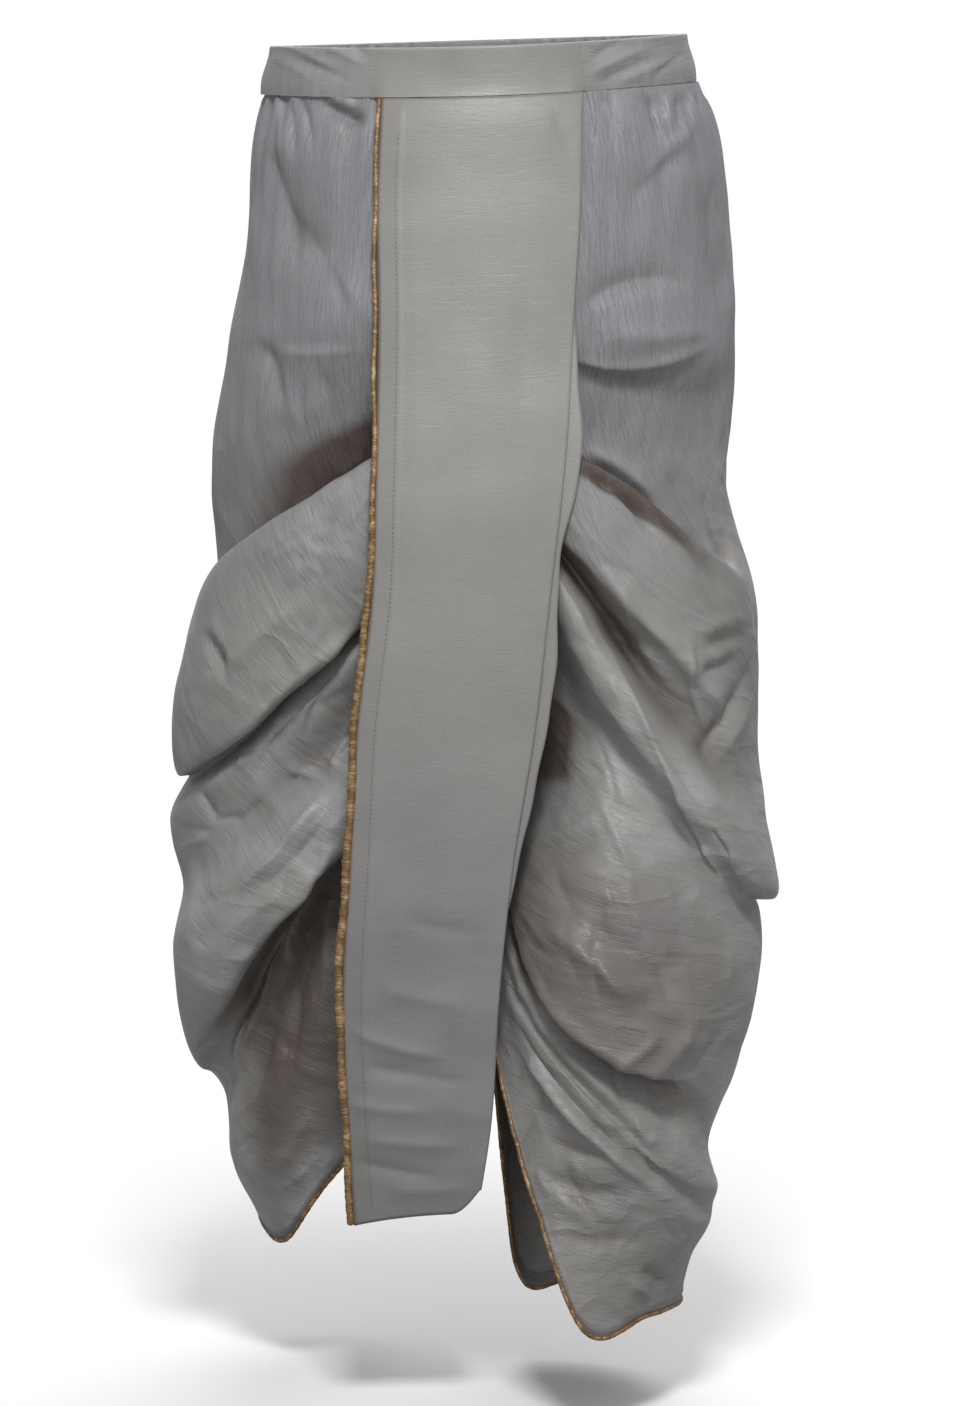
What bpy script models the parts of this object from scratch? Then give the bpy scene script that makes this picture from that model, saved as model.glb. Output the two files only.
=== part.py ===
"""Draped dhoti pants, worn by nobody: a waistband, two cowl-draped legs, a long back panel and gold piping.

Metres, +Z up. The origin is the middle of the waist opening, level with the band's top edge. The wearer's
back, which carries the long panel, faces -Y, and the wearer's left is -X.
"""

import bpy
import numpy as np

CLOTH = 0.002
SEAM_GAP = 0.0003

# The waistband is an oval casing, smooth across the middle of the back and gathered everywhere else.
BAND_HEIGHT = 0.036
BAND_WALL = 0.003
BAND_DEPTH_MIDDLE = 0.003
BAND_HALF_DEPTH = 0.109
BAND_HALF_WIDTH_TOP = 0.157
BAND_HALF_WIDTH_BOTTOM = 0.164
FLAT_HALF_WIDTH = 0.0745
FLAT_STEPS = 12
BAND_ROWS = 3
BAND_WIDENS_OVER = 0.85 * BAND_HEIGHT
BAND_GATHERS = 26
BAND_GATHER_DEPTH = 0.0010
# The two pieces of the band meet at a slant, so their outer faces stand a little further apart than a seam.
BAND_JOINT = 1.6 * SEAM_GAP
# Worn, the band dips at the middle of the back and sits a little higher on the wearer's right.
WAIST_DIP = 0.005
WAIST_TILT = 0.030
WAIST_SETTLED_DROP = 0.2

# A leg's ring is an ellipse: how far it reaches from the middle plane, and to the back and the front.
# The wearer stands with the right foot back, so the rings of the two legs part below the knee.
FORM_COLUMNS = ("drop", "inner", "outer", "back", "front")
LEFT_FORM = (
    (0.036, -0.161, 0.161, 0.106, 0.112),
    (0.100, -0.171, 0.171, 0.122, 0.118),
    (0.200, -0.181, 0.181, 0.137, 0.121),
    (0.300, -0.150, 0.199, 0.134, 0.120),
    (0.400, -0.085, 0.204, 0.124, 0.122),
    (0.500, -0.018, 0.220, 0.112, 0.126),
    (0.540, 0.002, 0.226, 0.106, 0.128),
    (0.600, 0.006, 0.230, 0.104, 0.132),
    (0.700, 0.012, 0.227, 0.096, 0.134),
    (0.800, 0.020, 0.207, 0.082, 0.130),
    (0.870, 0.026, 0.186, 0.070, 0.124),
    (0.940, 0.032, 0.154, 0.060, 0.116),
)
RIGHT_FORM = (
    (0.036, -0.166, 0.166, 0.106, 0.112),
    (0.100, -0.184, 0.184, 0.122, 0.118),
    (0.200, -0.190, 0.193, 0.139, 0.121),
    (0.300, -0.150, 0.191, 0.142, 0.116),
    (0.400, -0.085, 0.203, 0.148, 0.106),
    (0.500, -0.018, 0.208, 0.160, 0.092),
    (0.540, 0.002, 0.210, 0.166, 0.086),
    (0.600, 0.006, 0.212, 0.174, 0.078),
    (0.700, 0.000, 0.206, 0.190, 0.062),
    (0.800, -0.010, 0.186, 0.206, 0.042),
    (0.870, -0.018, 0.172, 0.216, 0.028),
    (0.960, -0.024, 0.146, 0.226, 0.012),
)
CROTCH_DROP = 0.53
# The legs come free of each other over the first drop, below the crotch. Each inseam parts over the second,
# above it.
LEGS_FREE_OVER = 0.12
INSEAM_PARTS_OVER = 0.04
INSEAM_GAP = 0.0016

# Where the two legs are sewn to each other: the depth of the centre seam at each drop, back and front.
SEAM_COLUMNS = ("drop", "back", "front")
CENTRE_SEAM = (
    (0.036, -0.106, 0.112),
    (0.200, -0.137, 0.121),
    (0.300, -0.134, 0.118),
    (0.400, -0.118, 0.104),
    (0.470, -0.088, 0.074),
    (0.510, -0.050, 0.040),
    (0.545, -0.010, 0.002),
)

# Fold lines run round a leg from the back seam to the front seam. A row gives how far below the waist the
# line lies at the seams and at six places between them, and how far outside the ring its back half stands.
STATIONS = (0, 0.125, 0.25, 0.375, 0.5, 0.75, 0.875, 1)
FOLD_COLUMNS = ("line", "seam", "inner", "back", "outer", "side", "front", "front inner", "stand")
LEFT_FOLDS = (
    ("band seam", 0.0363, 0.0363, 0.0363, 0.0363, 0.0363, 0.0363, 0.0363, (0, 0, 0, 0)),
    ("below band", 0.072, 0.072, 0.072, 0.072, 0.072, 0.072, 0.072, (0.003, 0.004, 0.004, 0.003)),
    ("seat", 0.130, 0.134, 0.138, 0.142, 0.148, 0.138, 0.134, (0.001, 0.002, 0.000, 0.000)),
    ("hip swell", 0.185, 0.196, 0.206, 0.216, 0.228, 0.200, 0.192, (0.004, 0.007, 0.005, 0.003)),
    ("hip hollow", 0.222, 0.238, 0.256, 0.280, 0.310, 0.252, 0.234, (-0.002, -0.003, 0.001, 0.003)),
    ("pocket 1", 0.256, 0.291, 0.336, 0.384, 0.415, 0.330, 0.285, (-0.012, -0.020, -0.012, -0.004)),
    ("ridge 1", 0.272, 0.280, 0.322, 0.374, 0.424, 0.318, 0.276, (0.010, 0.022, 0.020, 0.002)),
    ("belly 1", 0.292, 0.308, 0.362, 0.424, 0.470, 0.352, 0.298, (0.026, 0.036, 0.034, 0.008)),
    ("under belly 1", 0.325, 0.346, 0.408, 0.482, 0.520, 0.400, 0.334, (0.028, 0.036, 0.036, 0.008)),
    ("lip 1", 0.348, 0.380, 0.452, 0.538, 0.558, 0.442, 0.366, (0.016, 0.024, 0.022, -0.002)),
    ("tuck 1", 0.356, 0.376, 0.444, 0.536, 0.560, 0.434, 0.366, (-0.002, 0.000, 0.002, -0.006)),
    ("ridge 2", 0.372, 0.396, 0.470, 0.560, 0.592, 0.462, 0.386, (0.014, 0.020, 0.014, 0.008)),
    ("crease 2", 0.405, 0.446, 0.530, 0.610, 0.646, 0.516, 0.430, (0.004, 0.004, 0.006, -0.003)),
    ("belly 2", 0.440, 0.486, 0.570, 0.664, 0.698, 0.560, 0.474, (0.022, 0.032, 0.028, 0.003)),
    ("lip 2", 0.486, 0.538, 0.618, 0.735, 0.792, 0.612, 0.530, (0.016, 0.026, 0.020, 0.006)),
    ("tuck 2", 0.500, 0.536, 0.610, 0.736, 0.796, 0.606, 0.534, (-0.010, -0.026, -0.014, 0.000)),
    ("knee hollow", 0.545, 0.590, 0.660, 0.765, 0.812, 0.664, 0.590, (-0.010, -0.024, -0.014, -0.006)),
    ("shin", 0.608, 0.660, 0.732, 0.802, 0.834, 0.738, 0.665, (0.002, -0.006, -0.002, -0.004)),
    ("ankle fold", 0.662, 0.722, 0.795, 0.856, 0.864, 0.808, 0.745, (0.004, 0.002, 0.006, 0.004)),
    ("hem", 0.700, 0.775, 0.853, 0.914, 0.909, 0.880, 0.835, (0.000, 0.002, 0.003, 0.002)),
)
RIGHT_FOLDS = (
    ("band seam", 0.0363, 0.0363, 0.0363, 0.0363, 0.0363, 0.0363, 0.0363, (0, 0, 0, 0)),
    ("below band", 0.072, 0.072, 0.072, 0.072, 0.072, 0.072, 0.072, (0.003, 0.004, 0.004, 0.003)),
    ("seat", 0.130, 0.134, 0.138, 0.142, 0.148, 0.138, 0.134, (0.001, 0.002, 0.002, 0.001)),
    ("seat fold", 0.208, 0.216, 0.226, 0.236, 0.212, 0.214, 0.210, (0.003, 0.006, 0.006, 0.001)),
    ("hip hollow", 0.232, 0.242, 0.256, 0.274, 0.285, 0.250, 0.240, (-0.004, -0.006, -0.004, 0.002)),
    ("pocket 1", 0.256, 0.296, 0.334, 0.394, 0.330, 0.322, 0.280, (-0.008, -0.012, -0.008, -0.006)),
    ("ridge 1", 0.272, 0.284, 0.318, 0.380, 0.418, 0.312, 0.276, (0.008, 0.016, 0.014, 0.006)),
    ("belly 1", 0.300, 0.316, 0.356, 0.430, 0.470, 0.348, 0.300, (0.022, 0.028, 0.022, 0.004)),
    ("lip 1", 0.330, 0.344, 0.404, 0.492, 0.520, 0.392, 0.340, (0.016, 0.022, 0.012, 0.002)),
    ("valley 1", 0.342, 0.346, 0.432, 0.528, 0.556, 0.424, 0.352, (-0.004, -0.006, 0.000, 0.004)),
    ("ridge 2", 0.352, 0.360, 0.474, 0.592, 0.612, 0.462, 0.368, (0.010, 0.032, 0.028, 0.010)),
    ("lip 2", 0.372, 0.385, 0.500, 0.618, 0.636, 0.490, 0.392, (0.010, 0.030, 0.030, 0.012)),
    ("hollow 2", 0.410, 0.450, 0.520, 0.628, 0.634, 0.520, 0.450, (-0.026, 0.006, 0.012, -0.008)),
    ("ledge 2", 0.460, 0.545, 0.548, 0.650, 0.652, 0.560, 0.530, (-0.012, 0.010, 0.016, 0.002)),
    ("belly 3", 0.505, 0.600, 0.640, 0.690, 0.700, 0.640, 0.590, (0.016, 0.032, 0.022, 0.004)),
    ("lip 3", 0.560, 0.668, 0.738, 0.758, 0.770, 0.720, 0.650, (0.016, 0.026, 0.012, 0.002)),
    ("tuck 3", 0.575, 0.668, 0.734, 0.786, 0.832, 0.724, 0.664, (-0.004, -0.010, -0.002, -0.008)),
    ("ridge 3", 0.600, 0.696, 0.768, 0.836, 0.858, 0.762, 0.700, (0.010, 0.014, 0.014, 0.006)),
    ("crease 3", 0.612, 0.708, 0.782, 0.848, 0.870, 0.776, 0.714, (0.004, 0.006, 0.008, 0.006)),
    ("ridge 4", 0.624, 0.722, 0.798, 0.864, 0.880, 0.792, 0.730, (0.008, 0.010, 0.012, 0.006)),
    ("shin", 0.650, 0.752, 0.850, 0.896, 0.905, 0.850, 0.800, (0.000, 0.000, 0.002, 0.000)),
    ("hem", 0.690, 0.820, 0.938, 0.937, 0.943, 0.958, 0.938, (0.000, 0.002, -0.002, 0.002)),
)
FRONT_SHARE = 0.7
LEG_COLUMNS = 32
# Strips beside a seam, as shares of the way round a leg: pressed flat, where folds run level into it, drawn
# to the line on which the legs are sewn together, and parted at the inseam.
SEAM_FLAT = 1 / LEG_COLUMNS
SEAM_LEVEL = 0.14
SEAM_DRAWN = 0.24
SEAM_PARTED = 0.06
# A fold stands out sideways in full only this far round from a seam.
STAND_FULL = 0.4
# The gathers below the band run over the side and the front, and fade between two drops.
LEG_GATHERS = 16
LEG_GATHER_DEPTH = 0.0012
LEG_GATHERS_START = (0.27, 0.42)
LEG_GATHERS_END = (0.85, 0.95)
LEG_GATHERS_FADE = (0.04, 0.1)

# The back panel, from the band to above the ankles: its two side edges, its depth and how far it bows out.
PANEL_COLUMNS = ("drop", "left", "right", "depth", "bow")
PANEL = (
    (0.0363, -0.0720, 0.0760, -0.1100, 0.0112),
    (0.050, -0.0725, 0.0755, -0.1155, 0.0092),
    (0.072, -0.0735, 0.0750, -0.1214, 0.0074),
    (0.100, -0.0745, 0.0745, -0.1280, 0.0074),
    (0.200, -0.0735, 0.0690, -0.1492, 0.0070),
    (0.300, -0.0750, 0.0630, -0.1730, 0.0050),
    (0.340, -0.0760, 0.0590, -0.1788, 0.0044),
    (0.400, -0.0780, 0.0520, -0.1800, 0.0040),
    (0.500, -0.0895, 0.0410, -0.1800, 0.0030),
    (0.600, -0.0950, 0.0250, -0.1800, 0.0020),
    (0.700, -0.1005, 0.0145, -0.1795, 0.0000),
    (0.800, -0.0970, 0.0080, -0.1790, 0.0000),
    (0.875, -0.0920, -0.0040, -0.1785, 0.0000),
)
PANEL_HEM = 0.8630
PANEL_HEM_LEFT_DROP = 0.009
PANEL_CORNER = 0.018
PANEL_CORNER_SHARE = 0.2
PANEL_ROWS = 22
PANEL_WIDTH_STEPS = 8
PANEL_CLOTH = 0.0012
PANEL_TURN_RADIUS = 0.0015
PANEL_TURN_SAG = 1 / 6
PANEL_RETURN = 0.20

# The layer that shows past the panel's folded right edge between the seat and the calf.
UNDERLAY_COLUMNS = ("drop", "peek")
UNDERLAY = (
    (0.150, -0.004),
    (0.235, 0.006),
    (0.310, 0.012),
    (0.370, 0.006),
    (0.470, 0.011),
    (0.560, 0.007),
    (0.640, 0.002),
    (0.700, -0.004),
)
UNDERLAY_BACK = 0.0042
UNDERLAY_WIDTH = 0.050
UNDERLAY_WIDTH_STEPS = 4
UNDERLAY_ROWS = 24

PANEL_PIPING_RADIUS = 0.0022
HEM_PIPING_RADIUS = 0.0013

HIP_GREY = (0.262, 0.272, 0.300, 1)
BAND_GREY = (0.290, 0.295, 0.300, 1)
PANEL_GREY = (0.300, 0.296, 0.280, 1)
GOLD = (0.510, 0.300, 0.095, 1)


def column(table, columns, name):
    return np.array([row[columns.index(name)] for row in table], float)


def smooth_through(stations, values, at):
    """Cubic curve through values at uneven stations. Its slope at each is a mean of the chords beside it."""
    stations = np.asarray(stations, float)
    values = np.asarray(values, float)
    widths = np.diff(stations)
    chords = np.diff(values) / widths
    slopes = np.empty_like(values)
    slopes[0], slopes[-1] = chords[0], chords[-1]
    slopes[1:-1] = (chords[:-1] * widths[1:] + chords[1:] * widths[:-1]) / (widths[1:] + widths[:-1])
    at = np.clip(np.asarray(at, float), stations[0], stations[-1])
    i = np.clip(np.searchsorted(stations, at, side="right") - 1, 0, len(stations) - 2)
    h = widths[i]
    t = (at - stations[i]) / h
    return (
        values[i] * (2 * t**3 - 3 * t**2 + 1)
        + values[i + 1] * (3 * t**2 - 2 * t**3)
        + slopes[i] * h * (t**3 - 2 * t**2 + t)
        + slopes[i + 1] * h * (t**3 - t**2)
    )


def smooth_step(low, high, at):
    """0 below low, 1 above high, and an S-curve between."""
    t = np.clip((np.asarray(at, float) - low) / (high - low), 0, 1)
    return t * t * (3 - 2 * t)


def waist_rise(x, y, drop):
    """How much higher than level the worn waist sits at a point; it fades out over the hips."""
    dip = WAIST_DIP * (np.clip(-y, 0, None) / BAND_HALF_DEPTH) ** 2
    return (WAIST_TILT * x - dip) * (1 - smooth_step(BAND_HEIGHT, WAIST_SETTLED_DROP, drop))


def ring_points(form, side, across, drop, outside):
    """Points of a leg: `across` runs 0 to 1 from the back seam round the outer side to the front seam."""
    drops = column(form, FORM_COLUMNS, "drop")
    inner, outer, back, front = (
        smooth_through(drops, column(form, FORM_COLUMNS, name), drop) for name in FORM_COLUMNS[1:]
    )
    middle, half = (outer + inner) / 2, (outer - inner) / 2
    half_depth, depth_middle = (front + back) / 2, (front - back) / 2
    # Above the crotch the ring is cut open at the middle plane, and below it the ring is whole.
    start = np.clip((middle - SEAM_GAP / 2) / half, -1, 1)
    openness = np.sqrt(1 - start**2)
    turn = 1 - np.abs(1 - 2 * across)
    opened = np.sin(np.pi / 2 * (turn / 3 + 2 * turn**2 / 3))
    closed = (1 - np.cos(np.pi * turn)) / 2
    share = closed * (1 - openness) + opened * openness
    cosine = np.clip(start + (-1 - start) * share, -1, 1)
    sine = np.sqrt(1 - cosine**2) * np.where(across < 0.5, 1, -1)
    x, y = middle - half * cosine, depth_middle - half_depth * sine
    normal = np.stack([-cosine * half_depth, -sine * half], -1)
    normal /= np.linalg.norm(normal, axis=-1, keepdims=True)
    x = x + outside * normal[..., 0] * smooth_step(0, STAND_FULL, share)
    y = y + outside * normal[..., 1]
    # Near the seams the cloth is drawn to the line on which the two legs are sewn together.
    seam_drops = column(CENTRE_SEAM, SEAM_COLUMNS, "drop")
    sewn = 1 - smooth_step(CROTCH_DROP, CROTCH_DROP + LEGS_FREE_OVER, drop)
    for name, end, sign in (("back", 0, 1), ("front", 1, -1)):
        seam = smooth_through(seam_drops, column(CENTRE_SEAM, SEAM_COLUMNS, name), drop)
        edge = depth_middle - sign * half_depth * openness
        near = 1 - smooth_step(SEAM_FLAT, SEAM_DRAWN, np.abs(across - end))
        y = y + (seam - edge) * near * sewn
    slit = 1 - smooth_step(0, SEAM_PARTED, np.minimum(across, 1 - across))
    slit = slit * smooth_step(CROTCH_DROP - INSEAM_PARTS_OVER, CROTCH_DROP, drop)
    y = y - np.where(across < 0.5, 1, -1) * INSEAM_GAP / 2 * slit
    return np.stack([side * x, y, waist_rise(side * x, y, drop) - drop], -1)


def through_rows(rows, steps):
    """Centripetal Catmull-Rom curve down each column of rows, with the given number of steps between rows."""
    rows = np.asarray(rows, float)
    padded = np.concatenate([[2 * rows[0] - rows[1]], rows, [2 * rows[-1] - rows[-2]]])
    spans = np.sqrt(np.linalg.norm(np.diff(padded, axis=0), axis=-1, keepdims=True)) + 1e-6
    points = []
    for k in range(len(rows) - 1):
        before, start, end, after = padded[k : k + 4]
        near, here, far = spans[k : k + 3]
        leave = ((start - before) / near - (end - before) / (near + here) + (end - start) / here) * here
        arrive = ((end - start) / here - (after - start) / (here + far) + (after - end) / far) * here
        for t in np.linspace(0, 1, steps, endpoint=False):
            points.append(
                start * (2 * t**3 - 3 * t**2 + 1)
                + end * (3 * t**2 - 2 * t**3)
                + leave * (t**3 - 2 * t**2 + t)
                + arrive * (t**3 - t**2)
            )
    points.append(rows[-1])
    return np.array(points)


def fold_rows(form, folds, side, across):
    """One row of points for each fold line. The front half's folds stand out less than the back half's."""
    # The strips beside the seams are pressed flat, so folds begin one column in.
    inside = np.minimum(across, 1 - across)
    settled = np.clip(inside - SEAM_FLAT * (1 - smooth_step(SEAM_FLAT, SEAM_LEVEL, inside)), 0, 0.5)
    settled = np.where(across < 0.5, settled, 1 - settled)
    gathers = np.cos(np.pi * 2 * LEG_GATHERS * across) * smooth_step(*LEG_GATHERS_START, across)
    gathers *= 1 - smooth_step(*LEG_GATHERS_END, across)
    rows = []
    for fold in folds:
        line = dict(zip(FOLD_COLUMNS, fold))
        inner, back = line["stand"][:2]
        stand = (0, *line["stand"], FRONT_SHARE * back, FRONT_SHARE * inner, 0)
        drop = smooth_through(STATIONS, [line[name] for name in (*FOLD_COLUMNS[1:-1], "seam")], settled)
        outside = smooth_through(STATIONS, stand, settled)
        outside = outside + LEG_GATHER_DEPTH * gathers * (1 - smooth_step(*LEG_GATHERS_FADE, drop))
        rows.append(ring_points(form, side, across, drop, outside))
    return np.array(rows)


def leg_surface(form, folds, side, columns=LEG_COLUMNS, steps=2):
    return through_rows(fold_rows(form, folds, side, np.linspace(0, 1, columns + 1)), steps)


def grid_mesh(name, points):
    """A sheet of quads over rows of points. It faces the left of the way its rows run, seen from above."""
    count, width = points.shape[:2]
    number = np.arange(count * width).reshape(count, width)
    faces = np.stack([number[:-1, :-1], number[1:, :-1], number[1:, 1:], number[:-1, 1:]], -1)
    mesh = bpy.data.meshes.new(name)
    mesh.from_pydata(points.reshape(-1, 3).tolist(), [], faces.reshape(-1, 4).tolist())
    mesh.update()
    return mesh


def add_cloth(name, mesh, material, wall, collection, flip=False):
    if flip:
        mesh.flip_normals()
    mesh.shade_smooth()
    mesh.materials.append(material)
    piece = bpy.data.objects.new(name, mesh)
    collection.objects.link(piece)
    thickness = piece.modifiers.new("wall", "SOLIDIFY")
    thickness.thickness = wall
    thickness.offset = -1
    thickness.use_even_offset = False
    return piece


def add_piping(name, points, radius, material, collection):
    curve = bpy.data.curves.new(name, "CURVE")
    curve.dimensions = "3D"
    curve.bevel_depth = radius
    curve.bevel_resolution = 1
    curve.use_fill_caps = True
    spline = curve.splines.new("POLY")
    spline.points.add(len(points) - 1)
    for point, place in zip(spline.points, points):
        point.co = (*place, 1)
    curve.materials.append(material)
    piece = bpy.data.objects.new(name, curve)
    collection.objects.link(piece)
    return piece


def cloth_material(name, colour, roughness, metallic=0):
    material = bpy.data.materials.new(name)
    material.use_nodes = True
    shader = material.node_tree.nodes["Principled BSDF"]
    shader.inputs["Base Color"].default_value = colour
    shader.inputs["Roughness"].default_value = roughness
    shader.inputs["Metallic"].default_value = metallic
    return material


def band_points(angles, heights, ripple):
    """Points of the band's outer face. The angle is 0 at the middle of the back and grows towards +X."""
    angle, drop = np.meshgrid(angles, heights)
    widen = smooth_step(0, BAND_WIDENS_OVER, drop)
    half = BAND_HALF_WIDTH_TOP + (BAND_HALF_WIDTH_BOTTOM - BAND_HALF_WIDTH_TOP) * widen
    depth = BAND_HALF_DEPTH + ripple
    x = (half + ripple) * np.sin(angle)
    y = BAND_DEPTH_MIDDLE - depth * np.cos(angle)
    return np.stack([x, y, waist_rise(x, y, drop) - drop], -1)


def make_band(material, collection):
    heights = np.linspace(0, BAND_HEIGHT, BAND_ROWS + 1)
    edge = np.arcsin(FLAT_HALF_WIDTH / BAND_HALF_WIDTH_TOP)
    joint = BAND_JOINT / BAND_HALF_WIDTH_TOP
    flat = band_points(np.linspace(-edge, edge, FLAT_STEPS + 1), heights, 0)
    add_cloth("waistband_back", grid_mesh("waistband_back", flat), material, BAND_WALL, collection)
    angles = np.linspace(edge + joint, 2 * np.pi - edge - joint, 2 * BAND_GATHERS + 1)
    ripple = BAND_GATHER_DEPTH * np.cos(np.pi * np.arange(len(angles)))
    ripple[:2] = ripple[-2:] = 0
    around = band_points(angles, heights, ripple)
    add_cloth("waistband_gathered", grid_mesh("waistband_gathered", around), material, BAND_WALL, collection)


def hem_path(surface, radius):
    """Where a hem's piping lies: past the sheet's last row by its own radius and a gap at each side."""
    along = np.gradient(surface[-1], axis=0)
    along /= np.linalg.norm(along, axis=-1, keepdims=True)
    outwards = surface[-1] - surface[-2]
    outwards -= along * (outwards * along).sum(-1, keepdims=True)
    outwards /= np.linalg.norm(outwards, axis=-1, keepdims=True)
    inwards = np.cross(along, outwards) * CLOTH / 2
    return surface[-1] + outwards * (radius + 2 * SEAM_GAP) + inwards


def panel_spine(drop):
    drops = column(PANEL, PANEL_COLUMNS, "drop")
    return (smooth_through(drops, column(PANEL, PANEL_COLUMNS, name), drop) for name in PANEL_COLUMNS[1:])


def panel_points(share, down):
    """Points of the back panel. `share` runs from its left edge to its right, `down` from band to hem."""
    lower_left = PANEL_HEM_LEFT_DROP * (1 - share) ** 2
    corner = PANEL_CORNER * np.clip((share - 1) / PANEL_CORNER_SHARE + 1, 0, None) ** 2
    drop = BAND_HEIGHT + SEAM_GAP + (PANEL_HEM + lower_left - corner - BAND_HEIGHT) * down
    left, right, depth, bow = panel_spine(drop)
    x = left + (right - left) * share
    y = depth + bow * (2 * share - 1) ** 2
    return np.stack([x, y, waist_rise(x, y, drop) - drop], -1)


def make_panel(material, collection):
    down = np.linspace(0, 1, PANEL_ROWS + 1)[:, None]
    face = panel_points(np.linspace(0, 1, PANEL_WIDTH_STEPS + 1)[None], down)
    # The right edge is folded under: half a turn, then a return behind the face over a share of its width.
    edge = face[:, -1:]
    turn = np.radians([45, 90, 135, 180])[None, :, None]
    back = 1 - np.cos(turn)
    bulge = np.concatenate([np.sin(turn), back, -PANEL_TURN_SAG * back], -1) * PANEL_TURN_RADIUS
    behind = panel_points(np.array([[1 - PANEL_RETURN / 2, 1 - PANEL_RETURN]]), down) + bulge[:, -1:]
    points = np.concatenate([face, edge + bulge, behind], 1)
    add_cloth("back_panel", grid_mesh("back_panel", points), material, PANEL_CLOTH, collection)
    return face


def make_underlay(material, collection):
    """The layer behind the panel has the panel's own bow, set back behind the panel's return."""
    drops = column(UNDERLAY, UNDERLAY_COLUMNS, "drop")
    drop = np.linspace(drops[0], drops[-1], UNDERLAY_ROWS + 1)[:, None]
    left, right, depth, bow = panel_spine(drop)
    edge = right + smooth_through(drops, column(UNDERLAY, UNDERLAY_COLUMNS, "peek"), drop)
    x = edge - UNDERLAY_WIDTH * np.linspace(1, 0, UNDERLAY_WIDTH_STEPS + 1)[None]
    share = np.minimum((x - left) / (right - left), 1)
    y = depth + bow * (2 * share - 1) ** 2 + UNDERLAY_BACK
    points = np.stack([x, y, waist_rise(x, y, drop) - drop], -1)
    mesh = grid_mesh("back_panel_underlay", points)
    add_cloth("back_panel_underlay", mesh, material, PANEL_CLOTH, collection)


def main():
    for old in list(bpy.data.objects):
        bpy.data.objects.remove(old)
    collection = bpy.data.collections.new("dhoti_pants")
    bpy.context.scene.collection.children.link(collection)

    leg_cloth = cloth_material("hip_grey_silk", HIP_GREY, roughness=0.45)
    gold = cloth_material("gold_piping", GOLD, roughness=0.4, metallic=0.6)
    make_band(cloth_material("band_grey_silk", BAND_GREY, roughness=0.45), collection)
    legs = (("left", LEFT_FORM, LEFT_FOLDS, -1), ("right", RIGHT_FORM, RIGHT_FOLDS, 1))
    for word, form, folds, side in legs:
        surface = leg_surface(form, folds, side)
        name = word + "_leg"
        add_cloth(name, grid_mesh(name, surface), leg_cloth, CLOTH, collection, flip=side < 0)
        path = hem_path(surface, HEM_PIPING_RADIUS)
        add_piping(word + "_hem_piping", path[1:-1], HEM_PIPING_RADIUS, gold, collection)
    panel_cloth = cloth_material("panel_grey_silk", PANEL_GREY, roughness=0.42)
    face = make_panel(panel_cloth, collection)
    make_underlay(panel_cloth, collection)
    path = face[:, 0] + np.array([-PANEL_PIPING_RADIUS - SEAM_GAP, PANEL_CLOTH / 2, 0])
    add_piping("back_panel_piping", path, PANEL_PIPING_RADIUS, gold, collection)


if __name__ == "__main__":
    main()
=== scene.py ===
"""Draped dhoti pants in slubbed grey silk-look cloth with gold piping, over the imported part."""

import bpy
import numpy as np
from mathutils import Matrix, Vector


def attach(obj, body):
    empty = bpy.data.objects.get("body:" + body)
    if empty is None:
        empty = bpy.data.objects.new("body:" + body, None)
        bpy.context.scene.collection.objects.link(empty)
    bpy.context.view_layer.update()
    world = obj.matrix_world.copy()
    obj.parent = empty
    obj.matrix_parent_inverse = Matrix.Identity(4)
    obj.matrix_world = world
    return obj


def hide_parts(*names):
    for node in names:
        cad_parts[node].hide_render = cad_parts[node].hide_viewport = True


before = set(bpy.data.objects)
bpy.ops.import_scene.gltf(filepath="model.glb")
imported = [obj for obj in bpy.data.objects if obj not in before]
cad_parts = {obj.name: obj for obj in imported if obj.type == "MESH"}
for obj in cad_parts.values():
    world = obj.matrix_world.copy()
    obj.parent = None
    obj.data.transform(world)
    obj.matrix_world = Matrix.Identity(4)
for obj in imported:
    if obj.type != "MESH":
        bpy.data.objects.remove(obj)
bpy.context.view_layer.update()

# The legs. Each is one sheet of slubbed silk-look cloth, sewn to the other at the middle of the back and
# of the front, and pleated so that it falls in cowl folds round the leg. The waistband holds both up.
BAND_HEIGHT = 0.036
BAND_HALF_DEPTH = 0.109
WAIST_DIP = 0.005
WAIST_TILT = 0.030
WAIST_SETTLED_DROP = 0.2
# A leg's ring is an ellipse: how far it reaches from the middle plane, and to the back and the front.
FORM_COLUMNS = ("drop", "inner", "outer", "back", "front")
LEFT_FORM = (
    (0.036, -0.161, 0.161, 0.106, 0.112),
    (0.100, -0.171, 0.171, 0.122, 0.118),
    (0.200, -0.181, 0.181, 0.137, 0.121),
    (0.300, -0.150, 0.199, 0.134, 0.120),
    (0.400, -0.085, 0.204, 0.124, 0.122),
    (0.500, -0.018, 0.220, 0.112, 0.126),
    (0.540, 0.002, 0.226, 0.106, 0.128),
    (0.600, 0.006, 0.230, 0.104, 0.132),
    (0.700, 0.012, 0.227, 0.096, 0.134),
    (0.800, 0.020, 0.207, 0.082, 0.130),
    (0.870, 0.026, 0.186, 0.070, 0.124),
    (0.940, 0.032, 0.154, 0.060, 0.116),
)
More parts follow.
